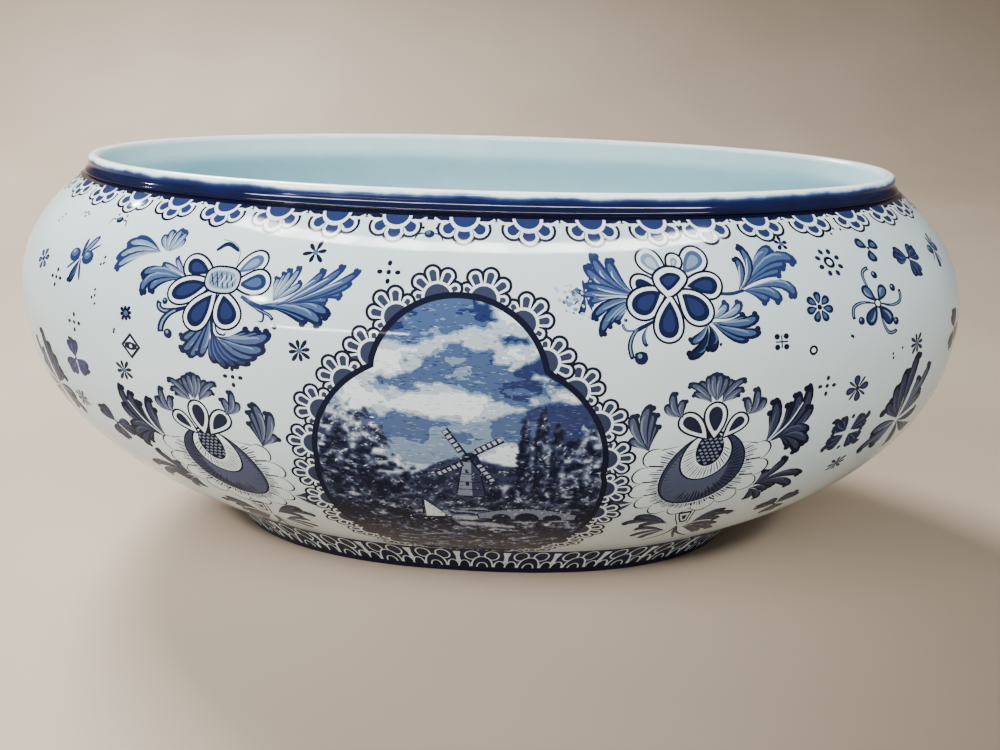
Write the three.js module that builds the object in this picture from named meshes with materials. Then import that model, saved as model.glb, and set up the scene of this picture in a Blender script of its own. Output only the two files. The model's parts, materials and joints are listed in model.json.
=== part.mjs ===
// Oval footed jardiniere in glazed earthenware: a swelling bowl with a drawn-in shoulder, a low
// collar with a rounded lip, and a flared foot ring. Millimetres, length along X, depth along Y,
// height along Z. It stands on Z = 0 with the centre of its base at the origin.

import * as THREE from 'three';
import { toCreasedNormals } from 'three/addons/utils/BufferGeometryUtils.js';

// Driving dimensions. Lengths and depths are taken right across the oval.
const OVERALL_HEIGHT = 172;

const BELLY_LENGTH = 410;
const BELLY_DEPTH = 235;
const BELLY_HEIGHT = 110;
const WALL_THICKNESS = 6;
const FLANK_TOP = 62;
const SHOULDER_START = 122;

const FOOT_LENGTH = 246.6;
const FOOT_DEPTH = 127.4;
const FOOT_HEIGHT = 20.4;
const FOOT_FLARE = 12.6;
const FOOT_TREAD = 6;
const FOOT_EDGE_RADIUS = 1.2;
const FOOT_INNER_FLARE = 9;
const FOOT_HOLLOW = 0.8;

const FLOOR_THICKNESS = 7;
const DISH_RISE = 4.5;
const DISH_REACH = 14;
const WELL_INSET = 1.5;

const COLLAR_HEIGHT = 7.6;
const RIM_LENGTH = 339.6;
const RIM_DEPTH = 194.8;
const LIP_THICKNESS = 4.8;
const COLLAR_FLARE = 1.8;
const COLLAR_HOLLOW = 0.6;
const BEAD_RADIUS = 0.8;
const COVE_REACH = 1.6;
const COVE_HEIGHT = 0.6;
const THROAT_DROP = 4.5;

// How full the curves are: 1 is a straight cone, 2 a parabola, more is rounder.
const FLANK_FULLNESS = 2.23;
const SHOULDER_FULLNESS = 2.39;

// How square the ovals are in plan: 2 is a true ellipse, more has fuller corners.
const FOOT_SQUARENESS = 2.3;
const RIM_SQUARENESS = 2.04;

const OVAL_SEGMENTS = 72;
const LEVEL_SPACING = 8;
const CREASE_ANGLE = THREE.MathUtils.degToRad(32);

// A level is one oval of a wall: half its length, half its depth, and its height.
function level(x, y, z) {
  return { x, y, z };
}

// The same oval drawn in or let out all round, at another height.
function offset(oval, by, z = oval.z) {
  return level(oval.x + by, oval.y + by, z);
}

function between(from, to, share) {
  const mix = (key) => THREE.MathUtils.lerp(from[key], to[key], share);
  return level(mix('x'), mix('y'), mix('z'));
}

// The level at height z of a wall that swells from an end level to the belly.
function swell(end, belly, fullness, z) {
  const away = Math.abs((belly.z - z) / (belly.z - end.z));
  const share = 1 - away ** fullness;
  const oval = between(end, belly, share);
  return level(oval.x, oval.y, z);
}

// A rounding in the wall's section, turned about a centre oval from one angle to another.
function rounding(centre, radius, fromDegrees, toDegrees, steps) {
  const levels = [];
  for (let i = 0; i <= steps; i += 1) {
    const degrees = THREE.MathUtils.lerp(fromDegrees, toDegrees, i / steps);
    const angle = THREE.MathUtils.degToRad(degrees);
    const z = centre.z + radius * Math.sin(angle);
    levels.push(offset(centre, radius * Math.cos(angle), z));
  }
  return levels;
}

// The levels that the pieces share, worked out from the driving dimensions.
const collarZ = OVERALL_HEIGHT - COLLAR_HEIGHT;
const seamZ = FOOT_HEIGHT + FLOOR_THICKNESS + DISH_RISE;
const floorZ = FOOT_HEIGHT + FLOOR_THICKNESS;

const footBottom = level(FOOT_LENGTH / 2, FOOT_DEPTH / 2, 0);
const footTop = offset(footBottom, FOOT_FLARE, FOOT_HEIGHT);
const belly = level(BELLY_LENGTH / 2, BELLY_DEPTH / 2, BELLY_HEIGHT);
const innerBelly = offset(belly, -WALL_THICKNESS);

const rim = level(RIM_LENGTH / 2, RIM_DEPTH / 2, OVERALL_HEIGHT);
const neck = offset(rim, COLLAR_FLARE + COVE_REACH, collarZ);
const throat = offset(rim, -LIP_THICKNESS, collarZ);
const throatBottom = offset(throat, 0, collarZ - THROAT_DROP);
const wellEdge = offset(footTop, -WELL_INSET, floorZ);

// The outside and the inside of the bowl at a height: flank below the belly, shoulder above it.
function outerWall(z) {
  if (z <= belly.z) return swell(footTop, belly, FLANK_FULLNESS, z);
  return swell(neck, belly, SHOULDER_FULLNESS, z);
}

function innerWall(z) {
  if (z <= belly.z) return swell(wellEdge, innerBelly, FLANK_FULLNESS, z);
  if (z >= throatBottom.z) return offset(throat, 0, z);
  return swell(throatBottom, innerBelly, SHOULDER_FULLNESS, z);
}

// The ovals grow rounder from the foot to the collar.
function squareness(z) {
  const share = THREE.MathUtils.clamp((z - FOOT_HEIGHT) / (collarZ - FOOT_HEIGHT), 0, 1);
  return THREE.MathUtils.lerp(FOOT_SQUARENESS, RIM_SQUARENESS, share);
}

// The point of a level at an angle round the oval.
function ovalPoint(oval, angle) {
  const power = 2 / squareness(oval.z);
  const bend = (value) => Math.sign(value) * Math.abs(value) ** power;
  return [oval.x * bend(Math.cos(angle)), oval.y * bend(Math.sin(angle)), oval.z];
}

// The foot ring: a flared wall, slightly hollowed outside, open beneath the bowl's floor.
function footLevels() {
  const treadOuter = offset(footBottom, -FOOT_EDGE_RADIUS, FOOT_EDGE_RADIUS);
  const treadInner = offset(footBottom, -FOOT_EDGE_RADIUS - FOOT_TREAD);
  const edge = rounding(treadOuter, FOOT_EDGE_RADIUS, -90, -35, 3);
  const face = [];
  const faceSteps = 5;
  const edgeEnd = edge[edge.length - 1];
  for (let i = 1; i < faceSteps; i += 1) {
    const share = i / faceSteps;
    const chord = between(edgeEnd, footTop, share);
    face.push(offset(chord, -FOOT_HOLLOW * Math.sin(Math.PI * share)));
  }
  const innerTop = offset(treadInner, FOOT_INNER_FLARE, FOOT_HEIGHT);
  return [...edge, ...face, footTop, innerTop, between(innerTop, treadInner, 0.5), treadInner];
}

// The bowl's floor: a shallow dish that closes the foot ring and turns up to meet the wall.
function floorLevels() {
  const seamOuter = outerWall(seamZ);
  const seamInner = innerWall(seamZ);
  const edge = [footTop, outerWall((FOOT_HEIGHT + seamZ) / 2), seamOuter];
  const dish = [];
  const dishSteps = 5;
  for (let i = 0; i <= dishSteps; i += 1) {
    const inward = i / dishSteps;
    const z = floorZ + DISH_RISE * (1 - inward) ** 2;
    dish.push(offset(seamInner, -DISH_REACH * inward, z));
  }
  const middle = between(level(0, 0, FOOT_HEIGHT), footTop, 0.5);
  const middleTop = offset(middle, 0, floorZ);
  return [level(0, 0, FOOT_HEIGHT), middle, ...edge, ...dish, middleTop, level(0, 0, floorZ)];
}

// The heights of a band's ovals, evenly spaced between its seams and the wall's own changes.
function bandHeights(fromZ, toZ) {
  const changes = [belly.z, throatBottom.z].filter((z) => z > fromZ && z < toZ);
  const stops = [fromZ, ...changes, toZ];
  const heights = [fromZ];
  for (let i = 1; i < stops.length; i += 1) {
    const steps = Math.ceil((stops[i] - stops[i - 1]) / LEVEL_SPACING);
    for (let j = 1; j <= steps; j += 1) {
      heights.push(THREE.MathUtils.lerp(stops[i - 1], stops[i], j / steps));
    }
  }
  return heights;
}

// A band of the wall: it runs up the outside and down the inside, with a flat seam at each end.
function bandLevels(fromZ, toZ) {
  const heights = bandHeights(fromZ, toZ);
  return [...heights.map(outerWall), ...heights.reverse().map(innerWall)];
}

// The collar: a small cove that rises from the shoulder, a bead above it, a nearly upright face,
// a little hollow, and a fully rounded lip.
function collarLevels() {
  const beadZ = collarZ + COVE_HEIGHT + BEAD_RADIUS;
  const beadCentre = offset(rim, COLLAR_FLARE - BEAD_RADIUS, beadZ);
  const bead = rounding(beadCentre, BEAD_RADIUS, -60, 60, 4);
  const cove = level(neck.x - COVE_REACH * 0.7, neck.y - COVE_REACH * 0.7, collarZ + COVE_HEIGHT * 0.5);
  const lipRadius = LIP_THICKNESS / 2;
  const lipCentre = offset(rim, -lipRadius, OVERALL_HEIGHT - lipRadius);
  const lip = rounding(lipCentre, lipRadius, 0, 180, 8);
  const chordMiddle = between(bead[bead.length - 1], lip[0], 0.5);
  const faceMiddle = offset(chordMiddle, -COLLAR_HOLLOW);
  return [neck, cove, ...bead, faceMiddle, ...lip, throat];
}

// Skins a closed section of levels. It runs up the outside and down the inside. A level with no
// length is a single point in the middle of the piece.
function skin(levels) {
  const positions = [];
  const rings = levels.map((oval) => {
    const first = positions.length / 3;
    const count = oval.x > 0 ? OVAL_SEGMENTS : 1;
    for (let j = 0; j < count; j += 1) {
      const angle = (2 * Math.PI * j) / OVAL_SEGMENTS;
      positions.push(...ovalPoint(oval, angle));
    }
    return { first, count };
  });
  const vertex = (ring, j) => ring.first + (j % ring.count);
  const triangles = [];
  rings.forEach((ring, i) => {
    const next = rings[(i + 1) % rings.length];
    for (let j = 0; j < OVAL_SEGMENTS; j += 1) {
      if (ring.count > 1) {
        triangles.push(vertex(ring, j), vertex(ring, j + 1), vertex(next, j + 1));
      }
      if (next.count > 1) {
        triangles.push(vertex(ring, j), vertex(next, j + 1), vertex(next, j));
      }
    }
  });
  const geometry = new THREE.BufferGeometry();
  geometry.setAttribute('position', new THREE.Float32BufferAttribute(positions, 3));
  geometry.setIndex(triangles);
  return toCreasedNormals(geometry, CREASE_ANGLE);
}

const glaze = (color, roughness) => new THREE.MeshStandardMaterial({ color, roughness, metalness: 0 });

function piece(name, levels, material) {
  const mesh = new THREE.Mesh(skin(levels), material);
  mesh.name = name;
  return mesh;
}

const jardiniere = new THREE.Group();
jardiniere.add(
  piece('foot_ring', footLevels(), glaze(0x2a3a78, 0.12)),
  piece('bowl_floor', floorLevels(), glaze(0xbcd2d6, 0.1)),
  piece('bowl_flank', bandLevels(seamZ, FLANK_TOP), glaze(0xd3e0e0, 0.08)),
  piece('bowl_belly', bandLevels(FLANK_TOP, SHOULDER_START), glaze(0xd3e0e0, 0.08)),
  piece('bowl_shoulder', bandLevels(SHOULDER_START, collarZ), glaze(0xd3e0e0, 0.08)),
  piece('rim_collar', collarLevels(), glaze(0x1c2658, 0.08)),
);

export default jardiniere;
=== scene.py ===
import json
import math

import bpy
import numpy as np
from mathutils import Matrix, Vector
from mathutils.geometry import delaunay_2d_cdt

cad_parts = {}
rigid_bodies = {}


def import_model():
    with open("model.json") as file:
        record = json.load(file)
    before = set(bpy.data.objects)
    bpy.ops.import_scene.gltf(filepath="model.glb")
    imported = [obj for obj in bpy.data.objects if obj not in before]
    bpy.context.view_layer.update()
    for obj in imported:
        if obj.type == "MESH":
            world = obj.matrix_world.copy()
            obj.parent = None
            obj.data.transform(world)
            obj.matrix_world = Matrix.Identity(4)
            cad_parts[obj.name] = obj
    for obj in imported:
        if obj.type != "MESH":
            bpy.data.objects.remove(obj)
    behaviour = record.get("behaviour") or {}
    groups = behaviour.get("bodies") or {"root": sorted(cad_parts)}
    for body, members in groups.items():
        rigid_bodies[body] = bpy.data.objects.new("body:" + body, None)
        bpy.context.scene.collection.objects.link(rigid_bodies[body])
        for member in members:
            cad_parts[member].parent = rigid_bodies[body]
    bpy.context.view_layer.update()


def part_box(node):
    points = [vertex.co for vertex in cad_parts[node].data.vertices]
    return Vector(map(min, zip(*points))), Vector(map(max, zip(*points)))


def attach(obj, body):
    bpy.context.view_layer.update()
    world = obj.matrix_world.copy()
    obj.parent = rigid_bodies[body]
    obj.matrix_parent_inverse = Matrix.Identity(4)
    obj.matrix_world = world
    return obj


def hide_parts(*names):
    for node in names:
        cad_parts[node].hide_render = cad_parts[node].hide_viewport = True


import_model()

MM = 0.001

# The form, in millimetres

def top_of(node):
    """Half the length, half the depth and the height of the top of a node of the CAD part."""
    return np.array(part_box(node)[1]) / MM


FOOT_TOP = top_of("foot_ring")
BELLY_HEIGHT = 110.0
BELLY = np.array([*top_of("bowl_belly")[:2], BELLY_HEIGHT])
COLLAR_FOOT = top_of("rim_collar")[:2]
OVERALL_HEIGHT = top_of("rim_collar")[2]
COLLAR_Z = top_of("bowl_shoulder")[2]
WALL_THICKNESS = 6.0
FLANK_FULLNESS = 2.23
SHOULDER_FULLNESS = 2.39
FOOT_SQUARENESS = 2.3
RIM_SQUARENESS = 2.04
FOOT_FLARE = 12.6
FOOT_HOLLOW = 0.8
FOOT_TREAD = 6.0
FOOT_INNER_FLARE = 9.0
FOOT_EDGE_RADIUS = 1.2
FLOOR_THICKNESS = 7.0
FLOOR_Z = FOOT_TOP[2] + FLOOR_THICKNESS
WELL_INSET = 1.5
DISH_RISE = 4.5
DISH_REACH = 14.0
COLLAR_FLARE = 1.8
COLLAR_HOLLOW = 0.6
BEAD_RADIUS = 0.8
BEAD_TURN = 60                                  # degrees of the bead's section above and below its middle
COVE_REACH = 1.6
COVE_HEIGHT = 0.6
LIP_THICKNESS = 4.8
THROAT_DROP = 4.5
THROAT_SOFTNESS = 4.0
SEAM_Z = FLOOR_Z + DISH_RISE

RIM = COLLAR_FOOT - COLLAR_FLARE - COVE_REACH
NECK = np.array([*COLLAR_FOOT, COLLAR_Z])
THROAT = RIM - LIP_THICKNESS
THROAT_Z = COLLAR_Z - THROAT_DROP
FOOT_BOTTOM = FOOT_TOP[:2] - FOOT_FLARE
WELL_EDGE = FOOT_TOP[:2] - WELL_INSET


def swell(end, end_z, belly, z, fullness):
    """The half axes at the heights z of a wall that swells from its end to the belly."""
    away = np.abs((BELLY[2] - z) / (BELLY[2] - end_z))
    share = (1 - np.clip(away, 0, 1) ** fullness)[..., None]
    return end + (belly - end) * share


def outer_axes(z):
    """The bowl's outside: the flank below the belly and the shoulder above it."""
    low = swell(FOOT_TOP[:2], FOOT_TOP[2], BELLY[:2], z, FLANK_FULLNESS)
    high = swell(NECK[:2], COLLAR_Z, BELLY[:2], z, SHOULDER_FULLNESS)
    return np.where((z <= BELLY[2])[..., None], low, high)


def inner_axes(z):
    """The bowl's inside, which runs straight up in the throat."""
    belly = BELLY[:2] - WALL_THICKNESS
    low = swell(WELL_EDGE, FLOOR_Z, belly, z, FLANK_FULLNESS)
    high = swell(THROAT, THROAT_Z, belly, np.minimum(z, THROAT_Z), SHOULDER_FULLNESS)
    return np.where((z <= BELLY[2])[..., None], low, high)


def smooth_inner_axes(z):
    """The inner wall with the turn below its throat softened."""
    reach = min(THROAT_SOFTNESS, COLLAR_Z - z)
    return np.mean([inner_axes(np.array(z + reach * t)) for t in np.linspace(-1, 1, 9)], axis=0)


def foot_axes(z):
    """The foot ring's outside: flared, and slightly hollow."""
    share = np.clip(z / FOOT_TOP[2], 0, 1)[..., None]
    hollow = FOOT_HOLLOW * np.sin(np.pi * share)
    return FOOT_BOTTOM + FOOT_FLARE * share - hollow


def squareness(z):
    """The ovals grow rounder from the foot to the collar. At 2 an oval is an ellipse."""
    share = np.clip((z - FOOT_TOP[2]) / (COLLAR_Z - FOOT_TOP[2]), 0, 1)
    return FOOT_SQUARENESS + (RIM_SQUARENESS - FOOT_SQUARENESS) * share


def oval(axes, z, angle):
    """Points of the ovals with these half axes and heights, at these angles."""
    n = squareness(z)
    c, s = np.cos(angle), np.sin(angle)
    reach = (np.abs(c) ** n + np.abs(s) ** n) ** (-1 / n)
    x, y = axes[..., 0] * reach * c, axes[..., 1] * reach * s
    return np.stack([x, y, np.broadcast_to(z, x.shape)], -1)


def way_along(line):
    """How far each point of a line lies from its first."""
    return np.concatenate([[0], np.cumsum(np.linalg.norm(np.diff(line, axis=0), axis=1))])


class Surface:
    """An outer face of the pot. u is the share of the way round, 0 at the front, z the height.

    Its printed sheet starts and ends at seam_u and has a grid of points with this spacing."""

    TURNS, ANGLES = 4097, 5761        # how fine the table of angles is, and each oval that it is read from

    def __init__(self, axes, bottom, top, levels, seam_u, spacing):
        self.axes, self.bottom, self.top = axes, bottom, top
        self.seam_u, self.spacing = seam_u, spacing
        self.z = np.linspace(bottom, top, levels)
        angle = np.linspace(-2.5 * np.pi, 1.5 * np.pi, self.ANGLES)
        self.u = np.linspace(-1, 1, self.TURNS)
        self.table = np.empty((levels, self.TURNS))
        self.girth = np.empty(levels)
        for i, z in enumerate(self.z):
            level = np.full_like(angle, z)
            ring = oval(axes(level), level, angle)
            way = way_along(ring)
            way -= way[len(way) // 2]
            self.girth[i] = way[-1]
            self.table[i] = np.interp(self.u * way[-1], way, angle)
        self.rise = way_along(self.point(np.zeros(levels), self.z))
        self.width = float(self.girth.mean())

    def angle(self, u, z):
        i = np.clip((z - self.bottom) / (self.top - self.bottom), 0, 1) * (len(self.z) - 1)
        j = (np.clip(u, -1, 1) + 1) / 2 * (self.TURNS - 1)
        i0 = np.minimum(i.astype(int), len(self.z) - 2)
        j0 = np.minimum(j.astype(int), self.TURNS - 2)
        fi, fj = i - i0, j - j0
        low = self.table[i0, j0] * (1 - fj) + self.table[i0, j0 + 1] * fj
        high = self.table[i0 + 1, j0] * (1 - fj) + self.table[i0 + 1, j0 + 1] * fj
        return low * (1 - fi) + high * fi

    def point(self, u, z):
        u, z = np.asarray(u, float), np.asarray(z, float)
        return oval(self.axes(z), z, self.angle(u, z))

    def normal(self, u, z):
        du, dz = 2e-4, 0.05
        across = self.point(u + du, z) - self.point(u - du, z)
        up = self.point(u, np.minimum(z + dz, self.top)) - self.point(u, np.maximum(z - dz, self.bottom))
        n = np.cross(across, up)
        return n / np.linalg.norm(n, axis=-1, keepdims=True)

    def around(self, z):
        return np.interp(z, self.z, self.girth)


BOWL = Surface(outer_axes, FOOT_TOP[2], COLLAR_Z, levels=145, seam_u=0.3442, spacing=(5.0, 4.0))
FOOT = Surface(foot_axes, 0.0, FOOT_TOP[2], levels=22, seam_u=0.326, spacing=(5.0, 3.0))


# Inks

TONES = ["pale", "light", "mid", "deep", "dark", "line"]
WHITE, PALE, LIGHT, MID, DEEP, DARK, LINE = range(7)
SHADED_COPY = len(TONES)          # the same tones again, greyer and darker: painted shade for the print low on the pot
INKS = ["white"] + ["cobalt_" + tone for tone in TONES] + ["slate_" + tone for tone in TONES]
PICTURE, GROUND, OUTSIDE = -1, -2, -3

# The inks of a leaf: its edge, its wash and its light streak.
SOFT, FADED, EVEN = (DEEP, LIGHT, PALE), (DEEP, MID, PALE), (DEEP, MID, LIGHT)
FIRM, FULL, HEAVY = (DARK, MID, LIGHT), (LINE, DEEP, MID), (LINE, DARK, MID)
INKY = (DARK, DEEP, MID)


SAME_PLACE = 1e-9


def crosses_itself(outline):
    """Whether two sides of the outline cross."""
    start = np.asarray(outline, float)
    along = np.roll(start, -1, 0) - start
    apart = start[None] - start[:, None]
    cross = lambda a, b: a[..., 0] * b[..., 1] - a[..., 1] * b[..., 0]
    slant = cross(along[:, None], along[None])
    slant[np.abs(slant) < 1e-12] = np.inf
    here, there = cross(apart, along[None]) / slant, cross(apart, along[:, None]) / slant
    within = [(share > SAME_PLACE) & (share < 1 - SAME_PLACE) for share in (here, there)]
    return bool(np.any(within[0] & within[1]))


class Pen:
    """Lays flat drawings on a sheet, in order. Each kind of pen knows where its drawings go."""

    def lay(self, points, ink):
        if len(points) < 3 or crosses_itself(points):       # it has no inside of its own
            return
        # Low on the pot each ink is laid in its greyer copy: painted shade.
        if self.slate and ink > WHITE:
            ink += SHADED_COPY
        self.sheet.append((self.place(points), ink))


class Stamp(Pen):
    """Puts flat drawings on a surface: x runs along the ring and y up the wall, from an anchor."""

    def __init__(self, sheet, surface, way, z, turn=0.0, mirror=False, scale=1.0, slate=False):
        self.sheet, self.surface, self.slate = sheet, surface, slate
        self.u = way / float(surface.around(z))
        rise = way_along(surface.point(np.full(len(surface.z), self.u), surface.z))
        self.rise = rise - np.interp(z, surface.z, rise)
        self.turn, self.mirror, self.scale = math.radians(turn), mirror, scale

    def place(self, points):
        x, y = np.asarray(points, float).T * self.scale
        if self.mirror:
            x = -x
        c, s = math.cos(self.turn), math.sin(self.turn)
        x, y = x * c - y * s, x * s + y * c
        over = np.maximum(y - self.rise[-1], 0) + np.minimum(y - self.rise[0], 0)
        z = np.interp(y, self.rise, self.surface.z)
        u = self.u + x / self.surface.around(z)
        return np.stack([u, z + over], -1)

    def local(self, u, z):
        """The other way: x and y on the drawing of points on the surface."""
        x = (u - self.u) * self.surface.around(z)
        return np.stack([x, np.interp(z, self.surface.z, self.rise)], -1)


class MovedStamp(Pen):
    """A stamp whose drawings are turned and shifted on another stamp's drawing."""

    def __init__(self, parent, at, turn=0.0, scale=1.0):
        self.sheet, self.parent, self.slate = parent.sheet, parent, parent.slate
        self.at = np.asarray(at, float)
        self.c, self.s = scale * math.cos(math.radians(turn)), scale * math.sin(math.radians(turn))

    def place(self, points):
        x, y = np.asarray(points, float).T
        return self.parent.place(np.stack([x * self.c - y * self.s, x * self.s + y * self.c], -1) + self.at)


# Drawing

def polar(radius, degrees):
    """The points at these distances and directions from the middle."""
    a = np.radians(degrees)
    return np.stack([radius * np.cos(a), radius * np.sin(a)], -1)


def ellipse(centre, rx, ry, tilt=0.0, n=20):
    a = np.linspace(0, 2 * np.pi, n, endpoint=False)
    x, y = rx * np.cos(a), ry * np.sin(a)
    c, s = math.cos(math.radians(tilt)), math.sin(math.radians(tilt))
    return np.stack([x * c - y * s, x * s + y * c], -1) + np.asarray(centre)


def sideways(axis):
    """The unit vectors that point to the left of a line."""
    along = np.gradient(np.asarray(axis, float), axis=0)
    along /= np.maximum(np.linalg.norm(along, axis=1, keepdims=True), 1e-9)
    return np.stack([-along[:, 1], along[:, 0]], -1)


def ribbon(axis, width):
    """A band of changing width along a line."""
    axis = np.asarray(axis, float)
    side = sideways(axis) * (np.broadcast_to(width, len(axis)) / 2)[:, None]
    return np.concatenate([axis - side, (axis + side)[::-1]])


def curve(points, n=14):
    """A smooth line through a few points."""
    p = np.asarray(points, float)
    if len(p) == 2:
        return p[0] + (p[1] - p[0]) * np.linspace(0, 1, 3)[:, None]
    p = np.concatenate([[2 * p[0] - p[1]], p, [2 * p[-1] - p[-2]]])
    out = []
    spans = len(p) - 3
    for i in range(spans):
        t = np.linspace(0, 1, max(3, n // spans), endpoint=i == spans - 1)[:, None]
        a, b, c, d = p[i:i + 4]
        out.append(0.5 * (2 * b + (c - a) * t + (2 * a - 5 * b + 4 * c - d) * t ** 2
                          + (3 * b - a - 3 * c + d) * t ** 3))
    return np.concatenate(out)


def toward(a, b, share):
    a, b = np.asarray(a, float), np.asarray(b, float)
    return a + (b - a) * share


def drop(base, bend, tip, width, point=0.8, n=9, part=(0.0, 1.0), side=0.0):
    """A drop along a bent line, or along a part of it: pointed at its base and round at its tip."""
    base, bend, tip = (np.asarray(p, float) for p in (base, bend, tip))
    tau = np.linspace(0, np.pi, n + 1)
    h = (1 - np.cos(tau)) / 2
    shape = np.sin(tau) * h ** point
    shape /= shape.max()
    t = (part[0] + (part[1] - part[0]) * h)[:, None]
    axis = base * (1 - t) ** 2 + 2 * bend * t * (1 - t) + tip * t ** 2
    axis = axis + sideways(axis) * (side * shape)[:, None]
    outline = ribbon(axis, width * shape)
    return np.delete(outline, [n, len(outline) - 1], axis=0)


def leaf(base, tip, width, point=0.8, n=9, **more):
    return drop(base, toward(base, tip, 0.5), tip, width, point, n, **more)


def area(outline):
    """The area inside an outline, less than 0 where it runs clockwise."""
    x, y = np.asarray(outline, float).T
    return 0.5 * float(np.sum(x * np.roll(y, -1) - np.roll(x, -1) * y))


def grown(outline, by):
    """The outline let out by a distance along its normals."""
    outline = np.asarray(outline, float)
    by = math.copysign(by, by * area(outline))
    along = np.roll(outline, -1, 0) - np.roll(outline, 1, 0)
    along /= np.maximum(np.linalg.norm(along, axis=1, keepdims=True), 1e-9)
    return outline + np.stack([along[:, 1], -along[:, 0]], -1) * by


def inset(outline, by):
    """The outline drawn in by a distance. Points that come nearer to another side are left out."""
    p, q = np.asarray(outline, float), grown(outline, -by)
    edge = np.roll(p, -1, 0) - p
    share = np.sum((q[:, None] - p) * edge, -1) / np.maximum(np.sum(edge * edge, -1), 1e-12)
    near = p + edge * np.clip(share, 0, 1)[..., None]
    return q[np.linalg.norm(q[:, None] - near, axis=-1).min(1) > 0.98 * by]


def stroke(pen, points, width, ink=LINE, taper=0.55):
    axis = curve(points, 12)
    h = np.linspace(0, 1, len(axis))
    pen.lay(ribbon(axis, width * (1 - taper * np.abs(2 * h - 1) ** 2)), ink)


def dot(pen, centre, radius, ink=LINE, squash=1.0, tilt=0.0, n=10):
    pen.lay(ellipse(centre, radius, radius * squash, tilt, n), ink)


def lobe(pen, base, bend, tip, width, tones=FIRM, streak=1):
    """One lobe of a leaf: a dark edge and tip, a wash inside and a light streak along one side."""
    edge, wash, light = tones
    (ax, ay), (bx, by) = np.subtract(bend, base), np.subtract(tip, bend)
    curl = math.copysign(1.0, ax * by - ay * bx)
    over_tip = np.array([-by, bx]) * curl / max(math.hypot(bx, by), 1e-6)
    pen.lay(drop(base, bend, tip, width, n=10), edge)
    dot(pen, toward(tip, bend, 0.13) + over_tip * 0.34 * width, 0.3 * width, edge, n=9)
    inner = max(0.6 * width, width - 1.5)
    pen.lay(drop(base, bend, tip, inner, 0.7, 8, (0.04, 0.88), 0.07 * width * streak), wash)
    pen.lay(drop(base, bend, tip, 0.18 * width, 0.4, 6, (0.12, 0.72), 0.27 * width * streak), light)


def feather(pen, base, width, lobes, tones=FIRM, streak=1):
    """A leaf whose lobes leave one base. Each lobe has the point that it bends to, and its tip."""
    for bend_x, bend_y, tip_x, tip_y in lobes:
        lobe(pen, base, (bend_x, bend_y), (tip_x, tip_y), 0.84 * width, tones, streak)


def petal(pen, base, tip, width, bend=None, border=1.2, fill=DEEP, shade=DARK):
    """A drop with a dark outline, a broad white border and a filled middle."""
    bend = toward(base, tip, 0.5) if bend is None else bend
    shape = drop(base, bend, tip, width, 0.5, 15)
    pen.lay(grown(shape, 0.75), LINE)
    pen.lay(shape, WHITE)
    pen.lay(inset(shape, border), shade)
    glow = inset(shape, border + 0.14 * width)
    if len(glow) > 4:
        pen.lay(toward(base, glow, 0.95), fill)


def scroll(pen, points, width, ball):
    """A stalk that swells and ends in a ball, with a light streak along it."""
    axis = curve(points, 18)
    h = np.linspace(0, 1, len(axis))
    fat = width * (0.35 + 0.65 * np.sin(np.pi * np.clip(h * 0.75, 0, 1)))
    pen.lay(ribbon(axis[:-3], fat[:-3]), DARK)
    pen.lay(ribbon(axis[3:-4], fat[3:-4] * 0.3), LIGHT)
    dot(pen, axis[-1], ball, DARK, n=12)
    dot(pen, axis[-1] + np.array([-0.2, 0.3]) * ball, ball * 0.34, LIGHT, n=7)


def round_petal(reach, width, n=9):
    """A petal along x that widens from the origin and ends in a half round."""
    r = width / 2
    end = polar(r, np.linspace(-78, 78, n)) + (reach - r, 0)
    return np.concatenate([[(0, -0.35 * r)], end, [(0, 0.35 * r)]])


def lace(pen, disc, petals, line, white):
    """Half a flower on an edge: a disc in a white arc, and looped petals.

    Each petal has its angle, its reach and its width. The last one lies on top."""
    units = [(MovedStamp(pen, (0, 0), angle), reach, width) for angle, reach, width in petals]
    for unit, reach, width in units:
        unit.lay(round_petal(reach + line, width + 2 * line), LINE)
    for unit, reach, width in units:
        unit.lay(round_petal(reach + 0.3, width + 0.6), LINE)
        unit.lay(round_petal(reach, width), WHITE)
        unit.lay(round_petal(reach - white, width - 2 * white), DEEP)
    dot(pen, (0, 0), disc, WHITE, n=24)
    dot(pen, (0, 0), disc - white, DEEP, n=20)


# Small motifs

def star(pen, radius=4.5, rays=8):
    for i in range(rays):
        angle = 360 * i / rays + 12
        pen.lay(leaf(polar(0.4, angle), polar(radius * (1 if i % 2 else 0.84), angle), 1.45, 0.4, 5), LINE)
    dot(pen, (0, 0), 1.0, MID, n=8)


def diamond(pen):
    outer = np.array([[-4.6, 0], [0, -4.9], [4.6, 0], [0, 4.9]])
    pen.lay(outer, LINE)
    pen.lay(outer * 0.7, WHITE)
    dot(pen, (0, 0), 1.5, LINE, 2.0, 90, 12)
    dot(pen, (0, 0), 0.7, WHITE, 1.0, 90, 8)


def dots(pen):
    for angle in (0, 90, 180, 270):
        dot(pen, polar(2.9, angle), 0.95, LINE, 0.8, angle, 8)
    dot(pen, (0, 0), 0.8, LINE, n=8)


def square(pen):
    for x in (-1.7, 1.7):
        for y in (-1.8, 1.8):
            dot(pen, (x, y), 1.05, LINE, n=8)
    stroke(pen, [(-2.3, 0), (2.3, 0)], 0.5, taper=0)
    stroke(pen, [(0, -2.2), (0, 2.2)], 0.5, taper=0)


def ring(pen):
    dot(pen, (0, 0), 1.8, LINE)
    dot(pen, (0, 0), 0.9, WHITE, n=8)


def dotted_ring(pen):
    dot(pen, (0, 0), 2.2, LINE, n=14)
    dot(pen, (0, 0), 1.1, WHITE, n=12)
    for angle in range(20, 380, 45):
        dot(pen, polar(4.3, angle), 1.15, DARK, 0.8, angle, 8)


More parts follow.
